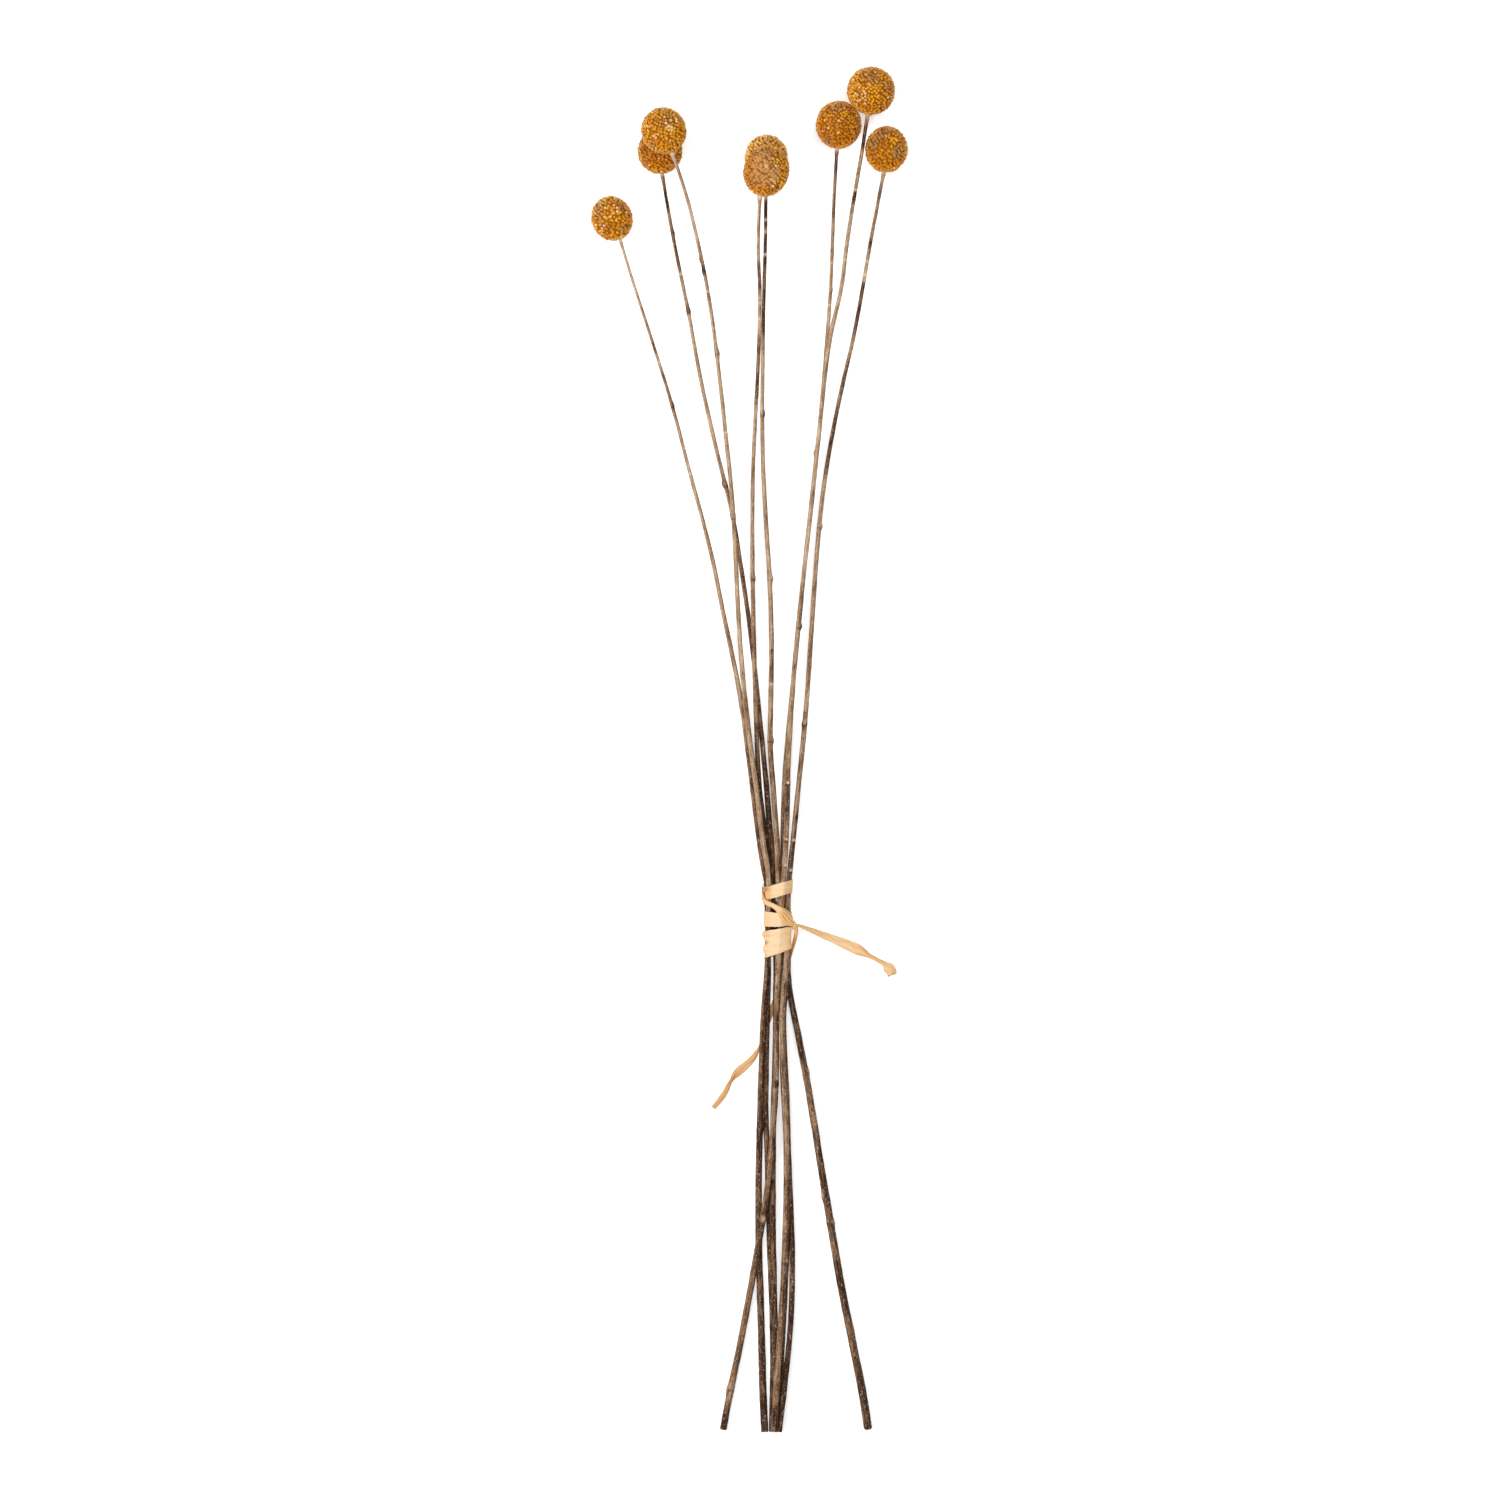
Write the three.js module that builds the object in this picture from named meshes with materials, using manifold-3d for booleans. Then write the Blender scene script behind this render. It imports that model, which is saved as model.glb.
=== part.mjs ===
/**
 * Dried billy buttons: eight globe flower heads on eight bare stems, bound into a bunch with one strip
 * of raffia and laid flat.
 *
 * Millimetres, +Z up. The bunch lies on the surface z = 0 with its heads towards +Y and its cut ends
 * towards -Y. Until the last lines everything is placed from the middle of the raffia tie, and the whole
 * group is then moved so that its origin is the middle of the bunch's footprint, on the surface.
 */
import * as THREE from 'three';
import { ConvexHull } from 'three/addons/math/ConvexHull.js';
import { mergeVertices } from 'three/addons/utils/BufferGeometryUtils.js';
import Module from 'manifold-3d';

const wasm = await Module();
wasm.setup();

// ---------------------------------------------------------------- driving dimensions

const CLEARANCE = 0.3; // between pieces that touch on the real bunch
const SAME_POINT = 1e-4; // corners nearer to each other than this are one
const PRESSED = 0.8; // how far a resting head is flattened against the surface
const FLAT_SPOT = 0.5; // what lies lower than this on a resting head is part of its flat spot

const FIRST_SEED = 31; // of head 1's random draws, the next head having the next number
const FLORETS = 140; // raised florets on one head
const FLORET_RELIEF = 0.95; // depth of the valleys between florets
const FLORET_WANDER = 0.035; // how far a floret strays from the even spacing, as a share of the radius
const TIP_SUNK = 0.25; // the most that a floret's tip lies below the ball
const UNEVENNESS = 0.012; // each swell of a head away from a true ball, as a share of the radius
const SWELLS = [3, 4]; // how fast the swell comes and goes across the head and along its height
const WORN_SMOOTH = 0.7; // share of the relief that is lost in the middle of a worn patch
const WORN_EDGE = [0.75, 0.92]; // cosine of the angle from its middle, where the patch starts and is full
const DIMPLE_DEPTH = 1.3; // the underside drawn in round the stem
const DIMPLE_EDGE = 0.93; // how far towards the stem the dimple starts, 1 being right at it
const SOCKET_DEPTH = 2.2; // how far a stem's top sits in its head
const SOCKET_SIDES = 8;

const STATION = 4; // distance between the sections at which the stems are laid clear of each other
const LAID_CLEAR = 0.42; // clearance between true sections, a little more than between the faceted pieces
const SMOOTHING_PASSES = 700;
const PUSHING_PASSES = 80;
const SMOOTHING = 0.9; // share of the way to the mean of its neighbours that an offset moves in a pass
const SIDEWAYS_SHARE = 0.45; // how much a push goes sideways, against up and down
const LEAST_GAIN = 0.3; // a push counts for at least this much of its own length as distance gained
const BINDING_PULL = 0.004; // drawn down in each pass at the middle of the tie
const BOUND_LENGTH = 60; // the pull fades to nothing this far from the tie
const STEM_SIDES = 8;
const RING_STEP = 20; // distance between a stem's rings
const RING_STEP_BOUND = 11; // and where it bends more, in and round the tie
const BENT_STRETCH = [-66, 50]; // that stretch, along Y
const FLARE = 0.35; // how much a stem widens just below its head
const FLARE_LENGTH = 4;
const KNOT_SWELL = 0.38; // how far a knot on a stem stands out
const KNOT_LENGTH = 1.6; // from its middle to where it has gone
const KNOT_MARGIN = 5; // no other ring stands this near to a knot

const RAFFIA = 0.7; // thickness of the binding
const RAFFIA_STEPS = 30; // steps of the binding in one whole turn
const OUTLINE_STEPS = 72; // directions in which the bunch's outline is found
const TAIL_RADIUS = 0.7; // a loose end of raffia, rolled up lengthwise
const TAIL_SIDES = 8;
const TAIL_STEP = 3.5; // distance between its rings
const KNOT_SIDES = [10, 8]; // facets of the knot in the raffia, round it and over it
const UNDER_TIE = 1.9; // the lowest stem's height above the surface, over the raffia that passes below
const RAISED_STRETCH = [-62, 20]; // where the stems keep that height, along Y
const RAISED_FADE = 70; // distance over which they come down to the surface beyond it

/**
 * Flower heads: centre in plan, width across, length along the stem and the height of the underside.
 * Heads 3 and 5 lie on heads 2 and 4, and head 7 is held a little off the surface by its own stem.
 */
const HEADS = [
  { centre: [-72.8, 308.2], width: 17.7, length: 19.5, underside: 0 },
  { centre: [-51.9, 337.5], width: 19.7, length: 19.4, underside: 0 },
  { centre: [-50.1, 346.8], width: 20.1, length: 19.9, underside: 15.7 },
  { centre: [-5.2, 334.8], width: 19.1, length: 19.5, underside: 0 },
  { centre: [-5.1, 328.9], width: 20.2, length: 23.1, underside: 16.8, worn: [0.3, -0.1, 1] },
  { centre: [26.6, 349.2], width: 20.2, length: 20.8, underside: 0 },
  { centre: [40.9, 364.1], width: 21.2, length: 21.2, underside: 3.8 },
  { centre: [47.5, 338.5], width: 18.7, length: 20.4, underside: 0 },
];

/**
 * Stems, from the head to the cut end. plan is the way of the axis seen from above, heights is how high
 * the axis runs along Y, radii are those at the head, at the tie and at the cut end, and knots are the
 * places along Y where a leaf or side shoot left a swelling.
 */
const STEMS = [
  {
    plan: [[-69.4, 299], [-62.6, 277], [-55.5, 255], [-46.5, 226], [-37.8, 193], [-30.3, 165], [-23.5, 132],
      [-17.5, 103], [-12.8, 70], [-9.2, 40], [-5.7, 18], [-1.3, 0], [3.1, -18], [4.9, -33], [7.8, -47],
      [12.7, -72], [19.7, -114], [27.4, -159], [35.8, -201], [39.7, -224]],
    heights: [[299, 8.3], [150, 5.4], [60, 3.7], [18, 3.2], [-18, 3.3], [-60, 3.5], [-130, 2.4],
      [-224, 1.8]],
    radii: [0.55, 1.3, 1.8],
    knots: [226, -133],
  },
  {
    plan: [[-50.9, 328], [-46.6, 303], [-42.6, 283], [-39.5, 268], [-33, 233], [-24.8, 198], [-20.3, 180],
      [-15.1, 149], [-11.1, 121], [-6.4, 79], [-3.7, 53], [-2.8, 42], [-1.7, 30], [-1, 19], [-0.6, 0],
      [0.7, -18], [0.1, -57], [-1.2, -86], [-1.8, -124], [-1.3, -159], [-0.6, -190], [-1.4, -225]],
    heights: [[328, 9], [180, 6.2], [115, 4.2], [40, 4.6], [18, 5], [0, 5.2], [-18, 3.4], [-57, 3.1],
      [-110, 2.8], [-160, 3.3], [-225, 4.1]],
    radii: [0.7, 1.2, 1.35],
    knots: [267, 191],
  },
  {
    plan: [[-46.6, 337], [-41.7, 323], [-36.1, 302], [-30.1, 272], [-26.1, 242], [-22.5, 209], [-19.6, 178],
      [-17.8, 141], [-15.7, 110], [-12.7, 81], [-9.1, 55], [-6.4, 33], [-4, 18], [-4.2, 0], [-4.4, -18],
      [-6, -42], [-6.6, -58], [-6.9, -74], [-7.6, -96], [-7.9, -132], [-7.2, -158], [-6.3, -179],
      [-5.8, -200], [-4.4, -225]],
    heights: [[337, 24.2], [178, 15.6], [81, 10], [33, 7.6], [0, 7.1], [-18, 5.6], [-58, 4.6], [-110, 2.9],
      [-140, 2.2], [-180, 1.75], [-225, 1.7]],
    radii: [0.72, 1.2, 1.65],
    knots: [249, 177, -92],
  },
  {
    plan: [[-5.3, 324], [-5.4, 303], [-6, 281], [-6.5, 259], [-6.7, 240], [-6.9, 222], [-6.3, 192],
      [-5, 169], [-3.7, 148], [-3, 121], [-3.4, 95], [-3.7, 76], [-2.4, 56], [-0.9, 31], [-0.5, 18],
      [0.4, 0], [1.2, -18], [1.4, -42], [1.6, -58], [1.6, -72], [2.5, -84], [3.4, -105], [3.4, -126],
      [2.7, -148], [1.7, -169], [0.2, -193], [-0.7, -211], [-0.9, -225]],
    heights: [[324, 8.9], [184, 8.6], [79, 8.8], [31, 7.4], [18, 7.2], [0, 6.8], [-18, 5.5], [-42, 3.6],
      [-96, 2.6], [-140, 1.8], [-225, 1.45]],
    radii: [0.72, 1.3, 1.35],
    knots: [222, 150, 79],
  },
  {
    plan: [[-7.9, 318], [-8.7, 299], [-8, 281], [-8.2, 262], [-8.6, 245], [-9.7, 224], [-10.8, 200],
      [-11.1, 168], [-10.7, 140], [-10.2, 120], [-9, 88], [-7.6, 61], [-5.4, 42], [-3.7, 19], [-3.3, 0],
      [-3, -18], [-3.7, -42], [-4.4, -66], [-4.6, -84], [-3.8, -105], [-3, -137], [-2.3, -158],
      [-1.6, -179], [-1.5, -198], [-2.1, -225]],
    heights: [[318, 25.2], [230, 17.5], [150, 9.5], [88, 6.4], [42, 5.2], [19, 5], [0, 5], [-18, 3.2],
      [-60, 3], [-110, 2.4], [-170, 1.6], [-225, 1.4]],
    radii: [0.72, 1.15, 1.35],
    knots: [150],
  },
  {
    plan: [[25.9, 339], [24.6, 316], [23.2, 279], [21.7, 257], [18.9, 224], [14.2, 180], [9.2, 132],
      [4.8, 90], [2.2, 61], [1.2, 31], [1.3, 18], [2, 0], [3, -18], [1, -42], [1.9, -63], [3, -84],
      [3.7, -105], [4.5, -122], [5.2, -140], [5.4, -156], [4.5, -179], [2.5, -200], [1, -211], [-0.6, -225]],
    heights: [[339, 9.4], [224, 7.2], [132, 5.8], [61, 4.8], [18, 4.9], [0, 5.1], [-18, 5.6], [-42, 6.3],
      [-74, 6], [-105, 5.2], [-130, 3.6], [-190, 3.5], [-211, 4.2], [-225, 4.9]],
    radii: [0.72, 1.15, 1.25],
    knots: [205],
  },
  {
    plan: [[39.5, 354], [36, 332], [31.1, 303], [28.1, 279], [22.4, 253], [19.5, 228], [14.9, 184],
      [10.5, 145], [6.6, 105], [4.4, 70], [3.5, 40], [2.2, 18], [0.9, 0], [0, -18], [-0.7, -47],
      [-1, -72], [-2.5, -96], [-4.7, -119], [-9, -145], [-15.1, -179], [-21.1, -208], [-24.1, -224]],
    heights: [[354, 13.8], [253, 11.6], [145, 9.2], [70, 7.8], [18, 7.4], [0, 7.6], [-18, 7.8], [-47, 6.8],
      [-96, 5.8], [-119, 5.4], [-145, 4.8], [-179, 2.9], [-224, 1.5]],
    radii: [0.8, 1.2, 1.5],
    knots: [129, 60, -72, -132, -206],
  },
  {
    plan: [[46.6, 329], [43, 310], [38.9, 288], [34.9, 264], [28, 233], [22.6, 206], [18.4, 176],
      [15, 132], [12.3, 92], [8.4, 53], [5.7, 26], [4.7, 18], [4.2, 0], [3.6, -18], [1.9, -38],
      [2, -55], [3.2, -84], [3.7, -105], [3.5, -128], [2.9, -148], [1.9, -169], [0.3, -190],
      [-0.8, -207], [-1.6, -225]],
    heights: [[329, 8.8], [206, 7.6], [92, 6.2], [53, 5.8], [18, 6.2], [0, 7], [-18, 8], [-42, 9.1],
      [-74, 8.9], [-105, 8], [-128, 6.4], [-158, 5.2], [-190, 6.4], [-225, 7.1]],
    radii: [0.76, 1.2, 1.4],
    knots: [173, 86, -150],
  },
];

const BUNCH_END = Math.min(...STEMS.map((stem) => stem.plan.at(-1)[1]));

/** Turns of the binding: middle along Y at the left and the right side of the bunch, and the widths there. */
const TURNS = [
  { left: 11.4, right: 14.6, wideLeft: 5.7, wideRight: 6.1 },
  { left: 0.3, right: 0, wideLeft: 6.7, wideRight: 5.2 },
  { left: -11.3, right: -8.3, wideLeft: 11.6, wideRight: 10.4 },
];

/**
 * The strand that crosses the front from the first turn to the knot. from and to are shares of the way round
 * the bunch, counted from its top over the left-hand side.
 */
const CROSSING = {
  from: 0.3, to: -0.2, left: 8.6, right: 0.2, wideLeft: 3, wideRight: 3.8, lift: 0.35,
};

/** The knot: place along Y and round the bunch, distance of its middle outside the stems, and size. */
const KNOT = { y: -2.4, round: -0.185, distance: 2.1, size: [3.3, 6.4, 4.4] };

/**
 * Ways of the loose ends from the knot outwards, down on to the surface. The right one goes straight out. The
 * left one goes down the right-hand side of the bunch, below the stems and out on the left.
 */
const TAIL_RIGHT = [
  [9.6, -2.6, 6.5], [11.6, -3.3, 5.4], [13.8, -4.2, 4.1], [16.5, -5.3, 2.9], [19.4, -6.5, 1.8],
  [22.7, -7.8, 1.1], [27.2, -9.7, 0.8], [33.8, -12.5, 0.8], [39.5, -15.3, 0.8], [43.9, -17.6, 0.8],
  [47.5, -19.9, 0.8], [49.8, -22.4, 0.8],
];
const TAIL_LEFT = [
  [8, -5.5, 6.2], [8.2, -8.2, 4.6], [7.9, -11.4, 3.1], [7.2, -14.6, 2], [5.9, -17.9, 1.1], [3.7, -23, 0.8],
  [0.2, -32.5, 0.8], [-2.4, -39, 0.8], [-5.2, -47.5, 0.8], [-8, -55.5, 0.8], [-11, -60.8, 0.8],
  [-14.5, -64.2, 0.8], [-18, -67.4, 0.8], [-20.8, -71.4, 0.8], [-23.6, -76.6, 0.8], [-28.5, -82.8, 0.8],
];

// ---------------------------------------------------------------- helpers

/** A repeatable stream of numbers from 0 to 1. */
function seededRandom(seed) {
  let state = seed >>> 0;
  return () => {
    state = (state + 0x6d2b79f5) >>> 0;
    let mixed = Math.imul(state ^ (state >>> 15), 1 | state);
    mixed = (mixed + Math.imul(mixed ^ (mixed >>> 7), 61 | mixed)) ^ mixed;
    return ((mixed ^ (mixed >>> 14)) >>> 0) / 4294967296;
  };
}

/** Smooth value at y through [value, y] or [y, value] pairs, as a Catmull-Rom curve over uneven steps. */
function valueAlong(pairs, y, yIndex) {
  const at = 1 - yIndex;
  const last = pairs.length - 1;
  let i = 0;
  while (i < last - 1 && y < pairs[i + 1][yIndex]) {
    i += 1;
  }
  const [p0, p1, p2, p3] = [pairs[Math.max(i - 1, 0)], pairs[i], pairs[i + 1], pairs[Math.min(i + 2, last)]];
  const span = p2[yIndex] - p1[yIndex];
  const slopeOf = (a, b) => (b[at] - a[at]) / (b[yIndex] - a[yIndex]);
  const startSlope = p0 === p1 ? slopeOf(p1, p2) : slopeOf(p0, p2);
  const endSlope = p3 === p2 ? slopeOf(p1, p2) : slopeOf(p1, p3);
  const t = (y - p1[yIndex]) / span;
  const t2 = t * t;
  const t3 = t2 * t;
  return (2 * t3 - 3 * t2 + 1) * p1[at] + (t3 - 2 * t2 + t) * span * startSlope
    + (3 * t2 - 2 * t3) * p2[at] + (t3 - t2) * span * endSlope;
}

function geometryOf(points, triangles) {
  const geometry = new THREE.BufferGeometry();
  geometry.setAttribute('position', new THREE.Float32BufferAttribute(points.flat(), 3));
  geometry.setIndex(triangles.flat());
  return geometry;
}

function toSolid(geometry) {
  const bare = geometry.clone();
  bare.deleteAttribute('normal');
  bare.deleteAttribute('uv');
  const merged = mergeVertices(bare, SAME_POINT);
  return new wasm.Manifold(new wasm.Mesh({
    numProp: 3,
    vertProperties: Float32Array.from(merged.attributes.position.array),
    triVerts: Uint32Array.from(merged.index.array),
  }));
}

function fromSolid(solid) {
  const mesh = solid.getMesh();
  const geometry = new THREE.BufferGeometry();
  geometry.setAttribute('position', new THREE.BufferAttribute(mesh.vertProperties, 3));
  geometry.setIndex(new THREE.BufferAttribute(mesh.triVerts, 1));
  return geometry;
}

/** Skin of a row of rings with the same number of points: joined to a loop, or with a fan at both ends. */
function skinOf(rings, looped = false) {
  const sides = rings[0].length;
  const total = rings.length * sides;
  const points = rings.flat().map((p) => p.toArray());
  const triangles = [];
  for (let ring = 0; ring < rings.length - (looped ? 0 : 1); ring += 1) {
    for (let side = 0; side < sides; side += 1) {
      const a = ring * sides + side;
      const b = ring * sides + ((side + 1) % sides);
      triangles.push([a, b, (b + sides) % total], [a, (b + sides) % total, (a + sides) % total]);
    }
  }
  const lastRing = total - sides;
  for (let side = 1; side < sides - 1 && !looped; side += 1) {
    triangles.push([0, side + 1, side], [lastRing, lastRing + side, lastRing + side + 1]);
  }
  return geometryOf(points, triangles);
}

// ---------------------------------------------------------------- stems

/** Radius of a stem's axis section at y: two straight tapers, the flare below the head and the knots. */
function stemRadius(stem, y) {
  const [atHead, atTie, atCut] = stem.radii;
  const top = stem.plan[0][1];
  const base = y > 0
    ? THREE.MathUtils.mapLinear(y, 0, top, atTie, atHead)
    : THREE.MathUtils.mapLinear(y, 0, BUNCH_END, atTie, atCut);
  const flare = FLARE * Math.max(0, 1 - (top - y) / FLARE_LENGTH);
  const swell = stem.knots.reduce(
    (sum, knot) => sum + KNOT_SWELL * Math.max(0, 1 - Math.abs(y - knot) / KNOT_LENGTH), 0);
  return base + flare + swell;
}

/** How high above the surface the underside of the stems stays: over the raffia near the tie. */
function floorAt(y) {
  const beyond = Math.max(0, y - RAISED_STRETCH[1], RAISED_STRETCH[0] - y);
  return UNDER_TIE * Math.max(0, 1 - beyond / RAISED_FADE);
}

function headHeight(head) {
  return head.width / 2 + head.underside - (head.underside === 0 ? PRESSED : 0);
}

/**
 * Lays the stems clear of each other. Each stem starts on its own plan and heights, sampled at the stations
 * that all stems share, every STATION along Y, and is moved by an offset. A pass smooths the offsets along
 * the stem, draws the bound stretch down by BINDING_PULL and then, at each station, pushes apart every two
 * stems whose sections come closer than LAID_CLEAR, mostly upwards and downwards, and lifts what is too low.
 * The last passes only push. The two ends follow the station next to them.
 */
function layStems() {
  const laid = STEMS.map((stem) => {
    const [top, cut] = [stem.plan[0][1], stem.plan.at(-1)[1]];
    const stations = [];
    for (let step = Math.ceil((cut + 1) / STATION); step * STATION < top - 1; step += 1) {
      stations.push({ step, dx: 0, dz: 0, ...planned(stem, step * STATION) });
    }
    return stations;
  });
  for (let pass = 0; pass < SMOOTHING_PASSES + PUSHING_PASSES; pass += 1) {
    if (pass < SMOOTHING_PASSES) {
      laid.forEach(smoothOffsets);
    }
    laid.forEach((stations, a) => {
      for (const one of stations) {
        for (const others of laid.slice(a + 1)) {
          const other = others[one.step - others[0].step];
          if (other) {
            pushApart(one, other);
          }
        }
        one.dz = Math.max(one.dz, one.r + floorAt(one.y) - one.z);
      }
    });
  }
  return laid.map((stations, i) => {
    const { plan } = STEMS[i];
    const cutEnd = { ...stations[0], ...planned(STEMS[i], plan.at(-1)[1]) };
    const headEnd = { ...stations.at(-1), ...planned(STEMS[i], plan[0][1]) };
    return [cutEnd, ...stations, headEnd].map(({ x, y, z, dx, dz, r }) => (
      { x: x + dx, y, z: Math.max(z + dz, r + floorAt(y)) }));
  });
}

function planned(stem, y) {
  return { x: valueAlong(stem.plan, y, 1), y, z: valueAlong(stem.heights, y, 0), r: stemRadius(stem, y) };
}

function smoothOffsets(stations) {
  const before = stations.map(({ dx, dz }) => ({ dx, dz }));
  const last = stations.length - 1;
  stations.forEach((station, i) => {
    const previous = before[Math.max(i - 1, 0)];
    const next = before[Math.min(i + 1, last)];
    const bound = Math.max(0, 1 - Math.abs(station.y) / BOUND_LENGTH);
    station.dx = THREE.MathUtils.lerp(before[i].dx, (previous.dx + next.dx) / 2, SMOOTHING);
    station.dz = THREE.MathUtils.lerp(before[i].dz, (previous.dz + next.dz) / 2, SMOOTHING);
    station.dz -= BINDING_PULL * bound;
  });
}

function pushApart(one, other) {
  const dx = other.x + other.dx - one.x - one.dx;
  const dz = other.z + other.dz - one.z - one.dz;
  const distance = Math.hypot(dx, dz);
  const short = one.r + other.r + LAID_CLEAR - distance;
  if (short <= 0) {
    return;
  }
  const push = new THREE.Vector2(dx * SIDEWAYS_SHARE, dz).normalize();
  const share = (short / 2) / Math.max(LEAST_GAIN, Math.abs(push.x * dx + push.y * dz) / distance);
  one.dx -= push.x * share;
  one.dz -= push.y * share;
  other.dx += push.x * share;
  other.dz += push.y * share;
}

/** The middle of a laid stem at y, straight between its stations. */
function axisAt(stations, y) {
  let i = 0;
  while (i < stations.length - 2 && y > stations[i + 1].y) {
    i += 1;
  }
  const [low, high] = [stations[i], stations[i + 1]];
  const t = (y - low.y) / (high.y - low.y);
  return new THREE.Vector3(
    THREE.MathUtils.lerp(low.x, high.x, t), y, THREE.MathUtils.lerp(low.z, high.z, t));
}

/** Places along Y of a stem's rings: close together at the tie and knots, wider apart elsewhere. */
function ringPlaces(stem) {
  const [top, cut] = [stem.plan[0][1], stem.plan.at(-1)[1]];
  const places = [cut, top - FLARE_LENGTH, top];
  for (const knot of stem.knots) {
    places.push(knot - KNOT_LENGTH, knot, knot + KNOT_LENGTH);
  }
  const nearKnot = (y) => stem.knots.some((knot) => Math.abs(y - knot) < KNOT_MARGIN);
  let y = cut + RING_STEP;
  while (y < top - 2 * FLARE_LENGTH) {
    if (!nearKnot(y)) {
      places.push(y);
    }
    y += y > BENT_STRETCH[0] && y < BENT_STRETCH[1] ? RING_STEP_BOUND : RING_STEP;
  }
  return places.sort((p, q) => p - q);
}

function stemGeometry(stem, stations, socketEnd) {
  const axis = ringPlaces(stem).map((y) => ({ point: axisAt(stations, y), radius: stemRadius(stem, y) }));
  axis.push({ point: socketEnd, radius: axis.at(-1).radius });
  const rings = axis.map(({ point, radius }, i) => {
    const before = axis[Math.max(i - 1, 0)].point;
    const after = axis[Math.min(i + 1, axis.length - 1)].point;
    const forward = after.clone().sub(before).normalize();
    const side = new THREE.Vector3().crossVectors(forward, new THREE.Vector3(0, 0, 1)).normalize();
    const up = new THREE.Vector3().crossVectors(side, forward);
    return Array.from({ length: STEM_SIDES }, (_, k) => {
      const angle = (2 * Math.PI * k) / STEM_SIDES;
      return point.clone()
        .addScaledVector(side, radius * Math.sin(angle))
        .addScaledVector(up, radius * Math.cos(angle));
    });
  });
  return skinOf(rings);
}

// ---------------------------------------------------------------- heads

/** Directions spread evenly over a ball by the golden angle, each moved a little at random. */
function floretDirections(random) {
  const goldenAngle = Math.PI * (3 - Math.sqrt(5));
  return Array.from({ length: FLORETS }, (_, i) => {
    const height = 1 - (2 * i + 1) / FLORETS;
    const around = Math.sqrt(1 - height * height);
    const turn = i * goldenAngle;
    const jitter = () => FLORET_WANDER * (2 * random() - 1);
    return new THREE.Vector3(
      around * Math.cos(turn) + jitter(), -height + jitter(), around * Math.sin(turn) + jitter()).normalize();
  });
}

/**
 * A head along +Y, stem side at -Y. Each floret is a low pyramid on its own cell of the ball: its tip stands
 * on the ball and the corners of the cell, which are the middles of the triangles between neighbouring
 * florets, lie FLORET_RELIEF lower. The underside round the stem is drawn in to a shallow dimple.
 */
function headGeometry(head, seed) {
  const random = seededRandom(seed);
  const tips = floretDirections(random);
  const hull = new ConvexHull().setFromPoints(tips);
  const tipIndex = new Map(tips.map((tip, i) => [tip, i]));
  const faceIndex = new Map(hull.faces.map((face, i) => [face, i]));
  const half = new THREE.Vector3(head.width / 2, head.length / 2, head.width / 2);
  const [startX, startZ] = [2 * Math.PI * random(), 2 * Math.PI * random()];
  const worn = new THREE.Vector3(...(head.worn ?? [0, 0, 0])).normalize();
  const place = (direction, sunk) => {
    const dimple = DIMPLE_DEPTH * Math.max(0, (-direction.y - DIMPLE_EDGE) / (1 - DIMPLE_EDGE));
    const relief = sunk * (1 - WORN_SMOOTH * THREE.MathUtils.smoothstep(direction.dot(worn), ...WORN_EDGE));
    const swell = Math.sin(SWELLS[0] * direction.x + startX) + Math.sin(SWELLS[1] * direction.z + startZ);
    return direction.clone().multiply(half).multiplyScalar(1 + UNEVENNESS * swell)
      .addScaledVector(direction, -relief - dimple).toArray();
  };
  const points = tips.map((tip) => place(tip, TIP_SUNK * random()));
  for (const face of hull.faces) {
    const middle = new THREE.Vector3();
    let edge = face.edge;
    for (let corner = 0; corner < 3; corner += 1) {
      middle.add(edge.head().point);
      edge = edge.next;
    }
    points.push(place(middle.normalize(), FLORET_RELIEF));
  }
  const triangles = [];
  for (const face of hull.faces) {
    let edge = face.edge;
    for (let corner = 0; corner < 3; corner += 1) {
      const here = FLORETS + faceIndex.get(face);
      const across = FLORETS + faceIndex.get(edge.twin.face);
      triangles.push([tipIndex.get(edge.tail().point), across, here]);
      edge = edge.next;
    }
  }
  return geometryOf(points, triangles);
}

/** Flattens what lies lower than FLAT_SPOT on to the surface, so that the head rests on a small flat spot. */
function pressFlat(geometry) {
  const position = geometry.attributes.position;
  for (let i = 0; i < position.count; i += 1) {
    if (position.getZ(i) < FLAT_SPOT) {
      position.setZ(i, 0);
    }
  }
  return geometry;
}

/** The head in its place: turned to its stem, with the socket for the stem cut into its underside. */
function placedHead(head, stem, neck, seed) {
  const centre = new THREE.Vector3(...head.centre, headHeight(head));
  const axis = centre.clone().sub(neck).normalize();
  const turn = new THREE.Quaternion().setFromUnitVectors(new THREE.Vector3(0, 1, 0), axis);
  const bore = stem.radii[0] + FLARE + CLEARANCE;
  const socket = new THREE.CylinderGeometry(bore, bore, 2 * SOCKET_DEPTH, SOCKET_SIDES);
  socket.translate(0, -head.length / 2, 0);
  const solid = toSolid(headGeometry(head, seed)).subtract(toSolid(socket));
  const geometry = fromSolid(solid).applyQuaternion(turn).translate(...centre.toArray());
  return head.underside === 0 ? pressFlat(geometry) : geometry;
}

// ---------------------------------------------------------------- raffia

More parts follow.
